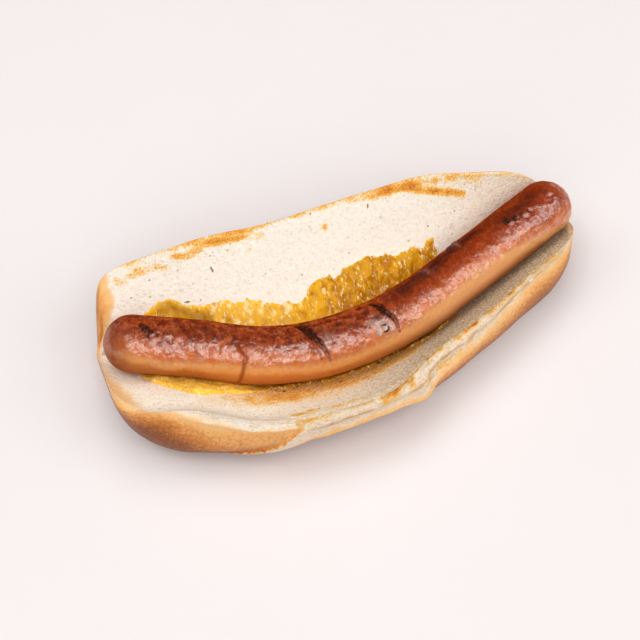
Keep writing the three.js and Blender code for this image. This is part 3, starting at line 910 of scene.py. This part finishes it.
# Creases: path of (along, degrees round it from the back over the top), depth, width at both ends, colour.
CREASES = (
    (((62.6, 46), (65.0, 70), (67.2, 92), (69.3, 108), (70.8, 128), (71.8, 150)), 1.3, (1.5, 0.5), 1.0),
    (((66.0, 92), (67.4, 106), (68.4, 127), (69.2, 143)), 0.45, (0.8, 0.45), 0.75),
    (((94.6, 54), (96.6, 80), (97.9, 104), (98.6, 122), (98.4, 146)), 1.2, (1.3, 0.5), 1.0),
    (
        ((39.6, 100), (41.4, 114), (43.2, 127), (42.8, 141), (42.6, 160), (41.8, 184), (40.8, 205)), 1.0,
        (0.6, 0.9), 0.55
    ),
    (((121.6, 36), (122.4, 60), (121.8, 84), (120.0, 102)), 1.3, (1.6, 1.2), 0.4),
    (((137.2, 26), (139.3, 50), (139.8, 74), (137.6, 84)), 0.8, (1.2, 0.8), 0.5),
    (((31.0, 96), (33.5, 118), (34.0, 134)), 0.25, (1.2, 0.9), 0.0),
    (((108.0, 60), (110.0, 92), (109.0, 120)), 0.35, (2.0, 1.4), 0.0),
    (((84.0, 64), (83.0, 96), (84.5, 124)), 0.3, (1.6, 1.2), 0.0),
    (((150.0, 56), (151.5, 88), (150.5, 116)), 0.3, (2.0, 1.5), 0.0),
)
# Burnt spots: along, degrees, radius, strength.
CHARS = (
    (64.0, 56, 1.7, 0.9), (65.2, 68, 2.0, 1.0), (66.8, 80, 2.1, 1.0), (68.0, 92, 1.9, 0.95),
    (69.4, 104, 1.6, 0.85), (70.2, 116, 1.2, 0.75), (71.0, 130, 0.9, 0.6), (94.4, 58, 1.6, 0.8),
    (95.6, 70, 2.0, 0.9), (96.4, 82, 2.2, 1.0), (96.6, 94, 2.2, 0.95), (97.6, 106, 1.9, 0.85),
    (98.2, 118, 1.2, 0.7), (93.0, 98, 2.0, 0.6), (3.6, 82, 1.8, 0.75), (5.2, 90, 2.2, 0.85),
    (7.4, 97, 1.8, 0.75), (9.8, 100, 1.5, 0.65), (6.2, 105, 1.4, 0.6), (12.4, 98, 1.8, 0.5),
    (18.0, 90, 2.6, 0.4), (27.0, 84, 2.6, 0.35), (160.6, 88, 2.2, 0.8), (163.6, 92, 2.0, 0.8),
    (167.0, 96, 1.9, 0.7), (170.0, 98, 1.8, 0.6), (174.6, 93, 1.5, 0.5), (176.6, 99, 1.3, 0.45),
)
# A burst blister with a burnt rim, and pale ash in and round it.
POPPED_BLISTER = (93.9, 125)
ASHES = (
    (91.4, 106, 2.2, 0.8), (91.4, 124, 2.2, 0.9), (93.9, 125, 2.4, 0.9), (93.9, 112, 2.0, 0.85),
    (95.6, 134, 1.6, 0.7), (72.8, 106, 2.0, 0.7), (71.8, 116, 1.6, 0.6), (121.2, 48, 1.8, 0.45),
    (121.8, 62, 1.3, 0.35), (138.0, 42, 2.2, 0.45), (139.2, 52, 1.5, 0.4)
)
# Raised blisters: along, degrees, radius, height.
BLISTERS = (
    (5.0, 87, 1.4, 0.3), (7.6, 99, 1.3, 0.3), (9.6, 91, 1.2, 0.25), (13.6, 98, 1.8, 0.3),
    (18.6, 98, 1.8, 0.25), (93.8, 125, 2.2, 0.3), (91.4, 107, 2.0, 0.3), (161.4, 89, 1.8, 0.3),
    (168.6, 97, 1.6, 0.3), (138.6, 46, 3.4, 1.0), (73.4, 108, 2.2, 0.3), (121.6, 52, 3.0, 0.8),
    (124.0, 72, 2.4, 0.35),
)
# Broad browner places: along, degrees, half length along, half length round in millimetres, strength.
SCORCHES = (
    (14, 82, 14, 5, 0.42), (30, 78, 12, 4, 0.4), (50, 84, 14, 5, 0.42), (72, 90, 10, 5, 0.4),
    (86, 84, 10, 5, 0.36), (163, 80, 10, 4, 0.35), (120, 62, 16, 4, 0.45), (104, 72, 8, 5, 0.45),
    (176, 76, 7, 4, 0.3), (142, 56, 14, 3, 0.45),
)
# Where grilled skin gives way to tan: along, degrees.
TAN_LINE = (
    (-20, 120), (0, 128), (7.6, 135), (13, 143), (27, 138), (36, 133), (48, 130), (62, 138), (70, 143),
    (84, 137), (99, 134), (110, 125), (128, 124), (142, 123), (150, 125), (160, 135), (171, 150),
    (185, 165), (200, 172)
)


# Rows along the sausage and points round it.
SAUSAGE_GRID = (540, 172)
MM_PER_DEGREE = math.radians(1) * SAUSAGE_RADIUS


def sausage_grid(rows, columns):
    """The sausage's skin as a grid, with the distance along it and the degrees round it of each point."""
    x = np.linspace(*AXIS_X, 600)
    axis = np.stack([x, *axis_at(x)], -1)
    run = np.concatenate([[0], np.cumsum(np.linalg.norm(np.diff(axis, axis=0), axis=1))])
    cap = SAUSAGE_RADIUS * math.pi / 2
    place = np.linspace(-cap, run[-1] + cap, rows)
    centre = np.stack([np.interp(np.clip(place, 0, run[-1]), run, axis[:, k]) for k in range(3)], -1)
    ahead = np.stack([centre[:, 0] + 0.5, *axis_at(centre[:, 0] + 0.5)], -1)
    behind = np.stack([centre[:, 0] - 0.5, *axis_at(centre[:, 0] - 0.5)], -1)
    along = ahead - behind
    along /= np.linalg.norm(along, axis=1, keepdims=True)
    across = np.cross([0, 0, 1], along)
    across /= np.linalg.norm(across, axis=1, keepdims=True)
    over = np.cross(along, across)
    turn = (np.clip(place - run[-1], 0, None) + np.clip(place, None, 0)) / SAUSAGE_RADIUS
    angle = np.linspace(-90, 270, columns)
    a = np.radians(angle)[None, :, None]
    outward = (
        (np.cos(a) * across[:, None] + np.sin(a) * over[:, None]) * np.cos(turn)[:, None, None]
        + (np.sin(turn)[:, None] * along)[:, None]
    )
    place = np.broadcast_to(place[:, None], outward.shape[:2])
    angle = np.broadcast_to(angle[None, :], outward.shape[:2])
    return centre[:, None] - CENTRE, outward, place, angle


def skin_line(place, angle, path):
    """Distance of each point from a line drawn on the skin, and how far along the line it is, 0 to 1."""
    nearest, share = np.full(place.shape, 1e9), np.zeros(place.shape)
    for i, ((p0, a0), (p1, a1)) in enumerate(zip(path[:-1], path[1:])):
        d = np.array([p1 - p0, (a1 - a0) * MM_PER_DEGREE])
        f = np.clip(((place - p0) * d[0] + (angle - a0) * MM_PER_DEGREE * d[1]) / (d @ d), 0, 1)
        distance = np.hypot(place - p0 - f * d[0], (angle - a0) * MM_PER_DEGREE - f * d[1])
        share = np.where(distance < nearest, (i + f) / (len(path) - 1), share)
        nearest = np.minimum(nearest, distance)
    return nearest, share


def add_sausage(settings):
    """The sausage, with its creases and blisters in the mesh and marks for its colours."""
    centre, outward, place, angle = sausage_grid(*SAUSAGE_GRID)
    skin = centre + outward * SAUSAGE_RADIUS

    def away(along, degrees, length=1.0, width=1.0):
        return np.hypot((place - along) / length, (angle - degrees) * MM_PER_DEGREE / width)

    def dabs(spots):
        total = np.zeros_like(place)
        for along, degrees, radius, strength in spots:
            total = np.maximum(total, strength * bell(away(along, degrees), radius))
        return total

    tan_line = np.interp(place, *zip(*TAN_LINE))
    grilled = step(15, 50, angle) * step(10, -12, angle - tan_line)
    left = step(128, 66, place)
    height = 0.22 * lumps(skin, 13.0, 2.0) + 0.07 * lumps(skin, 4.0, 6.0, 3)
    height = height + grilled * (0.10 + 0.06 * left) * lumps(skin, 2.8, 11.0, 3, stretch=(1.0, 0.7, 0.7))
    wavering = place + 0.5 * lumps(skin, 7.0, 8.0, 2)
    crease, char = np.zeros_like(place), dabs(CHARS)
    popped = bell(away(*POPPED_BLISTER) - 1.2, 0.45) * step(-0.4, 0.3, lumps(skin, 2.2, 15.0, 2))
    char = np.maximum(char, 1.1 * popped)
    for path, depth, (start, end), colour in CREASES:
        distance, share = skin_line(wavering, angle, path)
        width = start + (end - start) * share
        fade = step(1.0, 0.75, share) if colour else step(0, 0.3, share) * step(1, 0.7, share)
        line = bell(distance, width) * (0.3 + 0.7 * fade)
        height = height - depth * line
        crease = np.maximum(crease, colour * (1 - 0.45 * share) * bell(distance, 0.9 * width))
    for along, degrees, radius, rise in BLISTERS:
        distance = away(along, degrees) / radius
        height = (
            height + rise * np.sqrt(np.clip(1 - distance**2, 0, 1))
            - 0.25 * rise * bell(distance - 1.25, 0.3)
        )
    tone = np.clip(0.5 - (angle - tan_line) / 80, 0, 1) * step(-30, 10, angle)
    # Paler at the right end: painted light for the highlight on its round end.
    tone = tone * (1 - 0.3 * step(176, 190, place))
    scorch = 0.3 * step(112, 84, angle) * step(96, 120, place) + sum(
        strength * bell(away(along, degrees, length, width), 1.0)
        for along, degrees, length, width, strength in SCORCHES
    )
    dull = step(5, -8, place) * step(50, 100, angle) * step(240, 180, angle)
    # Painted shade low on both sides, and on the tan at the far left end.
    belly_shade = np.maximum(step(155, 186, angle), step(-8, -50, angle)) * (0.4 + 0.5 * step(60, 120, place))
    belly_shade = belly_shade + 0.26 * step(42, 22, place) * step(138, 158, angle) * step(262, 215, angle)
    greasy = 0.04 + 0.96 * step(58, 104, angle) * step(262, 215, angle)
    # Over the two round ends the colours all round run together.
    ends = np.clip(np.minimum(place - place[0, 0], place[-1, 0] - place), 0, None)
    tip = step(13, 1, ends)
    tone, belly_shade, greasy = tone + tip * (0.55 - tone), belly_shade * (1 - tip), greasy + tip * (0.7 - greasy)
    dull = dull + tip * step(60, 20, place) * (0.8 - dull)
    points = skin + outward * (height * step(0, 6, ends))[..., None]
    marks = {
        "tone": tone, "crease": crease, "char": char, "ash": dabs(ASHES), "scorch": scorch, "left": left,
        "dull": 0.8 * dull, "belly_shade": belly_shade, "greasy": greasy,
    }
    obj = wrapped_grid("grilled_sausage", points, marks)
    finish_piece(obj, sausage_material(settings), "sausage")


# The mustard's reach up each cut face, at even stations along its part of the bun.
MUSTARD_SPAN = (-0.87, 0.47)
MUSTARD_HIGH = (12, 24.8, 24.2, 29.3, 27.8, 26.2, 31.5, 32.8, 31.7, 27.0, 26)
MUSTARD_LOW = (12, 24.5, 22.8, 17.0, 12.4, 11.6, 11.2, 11.6, 12.8, 13.4, 9)
# How thick it lies on the high face at the same stations.
MUSTARD_THICK = (0.6, 1.0, 1.0, 0.8, 0.8, 1.1, 1.9, 2.2, 2.1, 1.9, 0.9)
# Where it turns darker olive, seen from above: a path, and dabs of path, half width and strength.
OLIVE_EDGE = ((-69, 24.5), (-64, 22.8), (-60, 20.2), (-56, 17.4), (-53, 15.8))
OLIVE_DABS = ((((0, 8), (3, 12)), 3.0, 0.35), (((16, 20), (22, 21)), 3.0, 0.4))
# Pale thin patches in it, seen from above: x, y, radius.
PALE_PATCHES = (
    (-50.3, 18.5, 2.2), (-37.6, 14.8, 2.4), (-33.4, 12.0, 1.6), (-29.3, 10.0, 2.0), (-23.2, 9.9, 2.3),
    (-48.2, 13.6, 1.4), (-43.4, 11.6, 1.6), (-38.1, 9.9, 1.3), (-55.9, 17.6, 1.5), (-44.6, 17.2, 1.3),
    (-18.2, 9.2, 1.3), (-8.5, 11.2, 1.1),
)


# Rows along the mustard and points across both its sides.
MUSTARD_GRID = (260, 120)
# How far it runs on under the crumb, past its reach.
MUSTARD_SPARE = 3.0
# Heights off the cut face: its underside, and the least and the most of its top.
MUSTARD_UNDERSIDE = -0.8
MUSTARD_TOP = (-0.75, 4.5)


def add_mustard(settings):
    """The mustard: one closed sheet that runs through under the sausage and shows on both cut faces."""
    rows, columns = MUSTARD_GRID
    share = np.linspace(-0.02, 1.02, rows)[:, None]
    loaf = Loaf(between(MUSTARD_SPAN, share))
    across = np.linspace(-1, 1, columns)[None, :]
    high, low = smooth(MUSTARD_HIGH, np.clip(share, 0, 1)), smooth(MUSTARD_LOW, np.clip(share, 0, 1))
    reach = np.where(across > 0, high + MUSTARD_SPARE, low + MUSTARD_SPARE) * np.abs(across)
    on_high = across > 0

    def at(lift):
        return np.where(on_high[..., None], loaf.cut(loaf.high, reach, lift), loaf.cut(loaf.low, reach, lift))

    base = at(0.0)
    inset = np.where(on_high, high, low) - reach
    wobble = lumps(base, 7.0, 2.0, 3)
    ripple = lumps(base, 2.3, 5.0, 3, stretch=(1.0, 0.6, 0.6))
    folds = lumps(base, 5.0, 21.0, 3, stretch=(1.0, 0.55, 0.55))
    scallop = lumps(base, 9.0, 12.0, 2)
    thick = np.where(
        on_high, smooth(MUSTARD_THICK, np.clip(share, 0, 1)), 0.7 + 0.9 * step(-42, -60, base[..., 0])
    )
    ends = step(-0.02, 0.05, share) * step(1.01, 0.965, share + 0.012 * wobble + 0.012 * ripple)
    wander = np.where(on_high, 1.0, 0.55) * (1.1 * wobble + 1.2 * ripple)
    rim = step(-0.6, 2.0, inset + wander + np.where(on_high, 2.4, 0.8) * scallop)
    rim = rim * step(-2.4, -1.2, inset)
    lift = (
        thick * rim * ends * (0.95 + 0.45 * wobble + 0.24 * ripple + 0.3 * folds) - 0.3
        - 0.45 * (1 - rim * ends)
    )
    pale_patch = np.zeros_like(lift)
    for x, y, radius in PALE_PATCHES:
        patch = step(1.5, 0.2, np.hypot(base[..., 0] - x, base[..., 1] - y) / radius + 0.8 * ripple)
        lift = lift - on_high * patch * (lift - 0.32)
        pale_patch = np.maximum(pale_patch, on_high * patch)
    lift = np.clip(lift, *MUSTARD_TOP)
    # It presses against the sausage, and never reaches through it.
    skin_x = base[..., 0] + CENTRE[0]
    axis = np.stack([skin_x, *axis_at(skin_x)], -1) - CENTRE
    for _ in range(3):
        top = at(lift)
        away = np.linalg.norm((top - axis)[..., 1:], axis=-1)
        lift = lift - np.clip(SAUSAGE_RADIUS - 0.1 - away, 0, None)
    top, bottom = at(lift), at(MUSTARD_UNDERSIDE + 0 * lift)
    top[0], top[-1] = bottom[0], bottom[-1]
    thin = 0.6 * step(0.8, 0.2, lift)
    # Painted shade where the surface dips.
    hollow_shade = 0.8 * step(0.05, -0.45, 0.35 * wobble + 0.6 * ripple + 0.5 * folds)
    olive = stroke(base, OLIVE_EDGE, 3.0) * (0.8 + 0.5 * wobble)
    for path, width, strength in OLIVE_DABS:
        olive = np.maximum(olive, strength * stroke(base, path, width))
    deep = 0.48 * on_high * step(-18, 2, base[..., 0]) + 0.7 * ~on_high * step(-50, -38, base[..., 0])
    # On the low face's left bead the pale colour is painted light, not thinness.
    thin = np.where(on_high, thin, 0.95 * step(-38, -50, base[..., 0]))
    both = np.concatenate([top, bottom[:, ::-1], top[:, :1]], axis=1)

    def padded(values):
        """The top's values, given to the underside as well."""
        return np.concatenate([values, values[:, ::-1], values[:, :1]], axis=1)

    marks = {"thin": thin, "pale_patch": pale_patch, "hollow_shade": hollow_shade, "deep": deep, "olive": np.clip(olive, 0, 1)}
    marks = {name: padded(values) for name, values in marks.items()}
    obj = wrapped_grid("squeezed_mustard", both, marks)
    finish_piece(obj, mustard_material(settings), "mustard")


# Scattered pieces on the bun: x, y, length, turn in degrees.
HERBS = (
    (-46.7, 30.2, 3.2, -82), (18.5, 34.6, 3.0, 66), (-59.1, 23.7, 2.6, -8), (-54.0, 22.6, 1.5, 30),
    (-14.3, 18.6, 1.4, 40), (-27.8, 22.7, 1.2, 15), (-55.1, 28.2, 1.2, 70), (6.0, 21.4, 1.3, 20),
    (30.5, 20.8, 1.2, -20),
)
BURNT_SPECKS = (
    (-70.5, 34.3, 0.8, 0), (-78.9, 31.6, 0.9, 0), (-72.0, 29.5, 0.8, 0), (-12.2, 13.8, 1.2, 30),
    (-13.9, 12.7, 0.9, 0), (-4.3, 37.1, 1.0, 20), (-30.5, -21.0, 1.6, 25), (-25.7, -27.3, 0.9, 0),
    (-36.1, -22.2, 1.5, 10), (-38.9, -20.2, 1.3, 0), (2.2, -21.2, 1.6, 15), (21.8, -16.4, 1.9, 20),
    (24.6, -15.6, 1.4, 30), (53.5, -2.4, 0.9, 0), (62.2, 0.4, 0.9, 0), (-14.8, -25.4, 1.1, 0),
    (-48.4, -15.8, 1.0, 0), (40.1, 24.2, 0.9, 0), (52.6, 27.1, 0.8, 0), (34.0, 17.5, 0.9, 0),
)
GOLDEN_SPOTS = ((-59.3, 33.9), (-45.9, 34.5), (-38.9, 34.2), (-62.7, 36.5))
# Bands of fine toasted crumbs and of burnt specks: path seen from above, half width, how many.
CRUMB_BANDS = (
    (((-58, -14.5), (-46, -19.5), (-34, -23.5), (-20, -27), (-4, -28)), 5.0, 380),
    (((-4, -26), (12, -23.5), (28, -17)), 3.5, 110),
    (((-70, 37.5), (-50, 38), (-30, 37), (-10, 36.5)), 3.0, 60),
    (((20, 37.5), (45, 37.5), (66, 34.5)), 3.5, 60),
    (((-30, -40), (0, -39.5), (20, -32), (40, -24.5), (70, -11)), 1.6, 60),
)
BURNT_BANDS = ((((-52, -14.5), (-42, -18), (-30, -20.5), (-12, -23.5), (6, -22), (26, -15)), 2.6, 46),)


def scattered(name, settings, places, thickness, slimness, detail, material, seed):
    """One rough grain, modelled once and set down on the bun at each place: x, y, length, turn in degrees.

    A grain that would fall beside the bun is left out.
    """
    deselect()
    bpy.ops.mesh.primitive_ico_sphere_add(subdivisions=detail, radius=0.5)
    grain = bpy.context.object
    bpy.ops.object.mode_set(mode="EDIT")
    bpy.ops.mesh.select_all(action="SELECT")
    bpy.ops.transform.vertex_random(offset=0.12, uniform=0.6, seed=seed)
    bpy.ops.transform.resize(value=(1.0, slimness, thickness))
    bpy.ops.object.mode_set(mode="OBJECT")
    bpy.ops.object.shade_smooth()
    bun = bpy.data.objects["split_bun"].evaluated_get(bpy.context.evaluated_depsgraph_get())
    draws = np.random.default_rng(seed)
    copies = []
    for x, y, length, turn in places:
        hit, place, normal, _ = bun.ray_cast(Vector((x * MM, y * MM, 0.1)), Vector((0, 0, -1)))
        if not hit or normal.z < 0.3:
            continue
        piece = grain.copy()
        piece.data = grain.data.copy()
        bpy.context.collection.objects.link(piece)
        lie = Vector((0, 0, 1)).rotation_difference(normal).to_matrix().to_4x4()
        spin = Matrix.Rotation(math.radians(turn) + 0.1 * float(draws.normal()), 4, "Z")
        size = settings.size * length * MM * float(draws.uniform(0.85, 1.15))
        lift = Matrix.Translation(place + normal * 0.18 * size * thickness)
        piece.data.transform(lift @ lie @ spin @ Matrix.Scale(size, 4))
        copies.append(piece)
    bpy.data.objects.remove(grain)
    deselect()
    for piece in copies:
        piece.select_set(True)
    bpy.context.view_layer.objects.active = copies[0]
    bpy.ops.object.join()
    whole = bpy.context.object
    whole.name = whole.data.name = name
    finish_piece(whole, material, None)


def grain_material(name, dark, light, size):
    """Rough grains, mottled between two colours."""
    s = Shader(name)
    speckle = s.noise(size, 3, 0.6)
    return s.finish(
        base_color=s.blend(s.rise(speckle, 0.38, 0.62), dark, light),
        roughness=s.rise(speckle, 0.3, 0.7, (0.5, 0.8)),
        normal=s.bump(speckle, 0.15),
        specular_ior_level=0.3,
    )


def along_bands(bands, seed, lengths=(0.35, 0.8)):
    """Places scattered along bands: x, y, length, turn."""
    draws = np.random.default_rng(seed)
    places = []
    for path, half_width, count in bands:
        path = np.asarray(path, float)
        run = np.concatenate([[0], np.cumsum(np.linalg.norm(np.diff(path, axis=0), axis=1))])
        for _ in range(count):
            at = draws.uniform(0, run[-1])
            x, y = np.interp(at, run, path[:, 0]), np.interp(at, run, path[:, 1])
            y = y + half_width * draws.normal() * 0.5
            places.append((x, y, draws.uniform(*lengths), draws.uniform(0, 180)))
    return places


def add_flecks(settings):
    """Herb flecks, burnt specks and toasted crumbs, loose on the bread."""
    herb = grain_material("Dried herb", display(124, 98, 58), settings.herb, 0.6)
    scattered("herb_flecks", settings, HERBS, 0.14, settings.herb_slimness, 2, herb, 11)
    burnt = grain_material("Burnt speck", display(60, 34, 22), settings.burnt, 0.5)
    burnt_places = list(BURNT_SPECKS) + along_bands(BURNT_BANDS, 6, (0.4, 1.1))
    scattered("burnt_specks", settings, burnt_places, 0.5, settings.crumb_slimness, 2, burnt, 12)
    spots = [(x, y, 1.0, 0) for x, y in GOLDEN_SPOTS]
    crumbs = grain_material("Toasted crumb", display(184, 112, 44), settings.crumb, 0.6)
    scattered(
        "toasted_crumbs", settings, spots + along_bands(CRUMB_BANDS, 5), 0.6, settings.crumb_slimness, 1,
        crumbs, 13
    )


def colour_setting(name, description, *shown):
    """A colour that a user can change, its default given as it looks on screen."""
    return bpy.props.FloatVectorProperty(
        name=name, description=description, subtype="COLOR", size=3, default=display(*shown), min=0, max=1
    )


def share_setting(name, description, default):
    return bpy.props.FloatProperty(name=name, description=description, default=default, min=0.1, max=1)


class FleckSettings(bpy.types.PropertyGroup):
    size: bpy.props.FloatProperty(
        name="Size", description="Size of the grains against their usual size", default=0.8, min=0.1, max=3
    )
    herb_slimness: share_setting("Herb slimness", "Width of each herb flake as a share of its length", 0.3)
    crumb_slimness: share_setting("Crumb slimness", "Width of each crumb as a share of its length", 0.6)
    herb: colour_setting("Herb", "Lighter colour of the dried herb", 172, 142, 92)
    burnt: colour_setting("Burnt", "Lighter colour of the burnt specks", 132, 82, 48)
    crumb: colour_setting("Toasted crumb", "Lighter colour of the toasted crumbs", 244, 200, 128)


class BunSettings(bpy.types.PropertyGroup):
    crumb: colour_setting("Crumb", "Colour of the soft crumb", 253, 247, 239)
    crumb_shade: colour_setting("Crumb shade", "Darker colour within the crumb", 247, 238, 224)
    crust: colour_setting("Crust", "Colour of the golden crust", 244, 184, 110)


class SausageSettings(bpy.types.PropertyGroup):
    tan: colour_setting("Tan", "Colour of the side that met no heat", 212, 130, 60)
    grilled: colour_setting("Grilled", "Darker colour of the grilled side", 116, 36, 14)
    grilled_light: colour_setting("Grilled light", "Brighter colour of the grilled side", 172, 72, 24)


class MustardSettings(bpy.types.PropertyGroup):
    mustard: colour_setting("Mustard", "Colour where it lies thick", 240, 178, 26)
    # Also the colour of the painted shade in its hollows.
    mustard_deep: colour_setting("Hollows", "Colour in its hollows", 186, 120, 10)


class StageSettings(bpy.types.PropertyGroup):
    lens: bpy.props.FloatProperty(
        name="Lens", description="Focal length on a 36 mm sensor", default=88.3, min=20, max=300,
        unit="CAMERA"
    )
    azimuth: bpy.props.FloatProperty(
        name="Azimuth", description="Camera's turn round the food", default=math.radians(-20), subtype="ANGLE"
    )
    elevation: bpy.props.FloatProperty(
        name="Elevation", description="Camera's height angle", default=math.radians(57), subtype="ANGLE"
    )
    distance: bpy.props.FloatProperty(
        name="Distance", description="Camera to food", default=0.6, unit="LENGTH"
    )


class HOTDOG_OT_bun(bpy.types.Operator):
    """Add the opened bun: crumb faces, torn band and crust"""

    bl_idname = "hotdog.add_bun"
    bl_label = "Bun"

    def execute(self, context):
        add_bun(context.scene.hotdog_bun)
        return {"FINISHED"}


class HOTDOG_OT_sausage(bpy.types.Operator):
    """Add the grilled sausage with its creases and blisters"""

    bl_idname = "hotdog.add_sausage"
    bl_label = "Sausage"

    def execute(self, context):
        add_sausage(context.scene.hotdog_sausage)
        return {"FINISHED"}


class HOTDOG_OT_mustard(bpy.types.Operator):
    """Add the mustard that is squeezed out along both cut faces"""

    bl_idname = "hotdog.add_mustard"
    bl_label = "Mustard"

    def execute(self, context):
        add_mustard(context.scene.hotdog_mustard)
        return {"FINISHED"}


class HOTDOG_OT_flecks(bpy.types.Operator):
    """Scatter herb flecks, burnt specks and toasted crumbs over the bun"""

    bl_idname = "hotdog.add_flecks"
    bl_label = "Flecks and crumbs"

    def execute(self, context):
        add_flecks(context.scene.hotdog_flecks)
        return {"FINISHED"}


class HOTDOG_OT_stage(bpy.types.Operator):
    """Add the pale floor, the soft lights and the camera"""

    bl_idname = "hotdog.add_stage"
    bl_label = "Stage"

    def execute(self, context):
        add_stage(context.scene.hotdog_stage)
        return {"FINISHED"}


FLOOR_SIZE = 8
FLOOR_DROP = 0.0002
LOOKED_AT = Vector((0, 0, 0.020)) - Vector(CENTRE * MM)
LIGHT_DISTANCE = 2.5
# Lights: name, azimuth, elevation, width and height at one metre, power, colour, whether gloss shows it.
LIGHTS = (
    ("key", -24, 52, (0.95, 1.2), 37.5, (1.0, 0.955, 0.91), True),
    ("right key", 58, 42, (0.9, 0.8), 27.0, (1.0, 0.955, 0.91), True),
    ("glint", -20, 60, (0.1, 0.1), 2.5, (1.0, 0.97, 0.94), True),
    ("back", 170, 66, (0.6, 0.6), 15.0, (1.0, 0.985, 0.97), False),
    ("left", -115, 56, (0.6, 0.6), 18.5, (0.99, 0.995, 1.0), False),
    ("above", 0, 89, (1.6, 1.6), 6.5, (1.0, 0.99, 0.98), False),
)
ROOM_COLOUR = (1.0, 0.985, 0.97, 1)
ROOM_STRENGTH = 0.05


def towards(azimuth, elevation):
    """The direction at two angles in radians, and the turn of a light or camera that stands there."""
    flat = math.cos(elevation)
    direction = Vector((math.sin(azimuth) * flat, -math.cos(azimuth) * flat, math.sin(elevation)))
    return direction, direction.to_track_quat("Z", "Y").to_euler()


def add_light(name, azimuth, elevation, size, power, colour, shines):
    """A soft light that faces the food."""
    direction, turn = towards(math.radians(azimuth), math.radians(elevation))
    deselect()
    bpy.ops.object.light_add(type="AREA", location=direction * LIGHT_DISTANCE, rotation=turn)
    light = bpy.context.object
    light.name = name
    light.data.shape = "RECTANGLE"
    light.data.size, light.data.size_y = (LIGHT_DISTANCE * side for side in size)
    light.data.energy = power
    light.data.color = colour
    light.visible_glossy = shines


def add_stage(settings):
    """Floor, lights, room and camera, which are not part of the hot dog."""
    deselect()
    bpy.ops.mesh.primitive_plane_add(size=FLOOR_SIZE, location=(0, 0, -FLOOR_DROP))
    floor = bpy.context.object
    floor.name = "floor"
    s = Shader("Pale floor")
    shade = s.blend(s.noise(60.0, 2, 0.5), display(237, 233, 235), display(235, 231, 233))
    floor.data.materials.append(s.finish(base_color=shade, roughness=0.75))

    for light in LIGHTS:
        add_light(*light)
    world = bpy.data.worlds.new("Pale room")
    bpy.context.scene.world = world
    world.use_nodes = True
    background = world.node_tree.nodes["Background"]
    background.inputs["Color"].default_value = ROOM_COLOUR
    background.inputs["Strength"].default_value = ROOM_STRENGTH

    back, turn = towards(settings.azimuth, settings.elevation)
    deselect()
    bpy.ops.object.camera_add(location=LOOKED_AT + back * settings.distance, rotation=turn)
    camera = bpy.context.object
    camera.name = "camera"
    camera.data.lens = settings.lens
    camera.data.sensor_width = 36
    camera.data.clip_start = 0.01
    scene = bpy.context.scene
    scene.camera = camera
    scene.view_settings.view_transform = "Standard"


class HOTDOG_PT_panel(bpy.types.Panel):
    """The hot dog's pieces and their colours"""

    bl_idname = "HOTDOG_PT_panel"
    bl_label = "Hot dog"
    bl_space_type = "VIEW_3D"
    bl_region_type = "UI"
    bl_category = "Hot dog"

    def draw(self, context):
        for group, (operator, _) in GROUPS.items():
            box = self.layout.box()
            box.operator(operator.bl_idname)
            settings = getattr(context.scene, group)
            for name in settings.bl_rna.properties.keys():
                if name not in ("rna_type", "name"):
                    box.prop(settings, name)


GROUPS = {
    "hotdog_bun": (HOTDOG_OT_bun, BunSettings),
    "hotdog_sausage": (HOTDOG_OT_sausage, SausageSettings),
    "hotdog_mustard": (HOTDOG_OT_mustard, MustardSettings),
    "hotdog_flecks": (HOTDOG_OT_flecks, FleckSettings),
    "hotdog_stage": (HOTDOG_OT_stage, StageSettings),
}


def register():
    for name, (operator, settings) in GROUPS.items():
        bpy.utils.register_class(settings)
        bpy.utils.register_class(operator)
        setattr(bpy.types.Scene, name, bpy.props.PointerProperty(type=settings))
    bpy.utils.register_class(HOTDOG_PT_panel)


def unregister():
    bpy.utils.unregister_class(HOTDOG_PT_panel)
    for name, (operator, settings) in GROUPS.items():
        delattr(bpy.types.Scene, name)
        bpy.utils.unregister_class(operator)
        bpy.utils.unregister_class(settings)


def main():
    register()
    bpy.ops.hotdog.add_bun()
    bpy.ops.hotdog.add_sausage()
    bpy.ops.hotdog.add_mustard()
    bpy.ops.hotdog.add_flecks()
    bpy.ops.hotdog.add_stage()


if __name__ == "__main__":
    main()
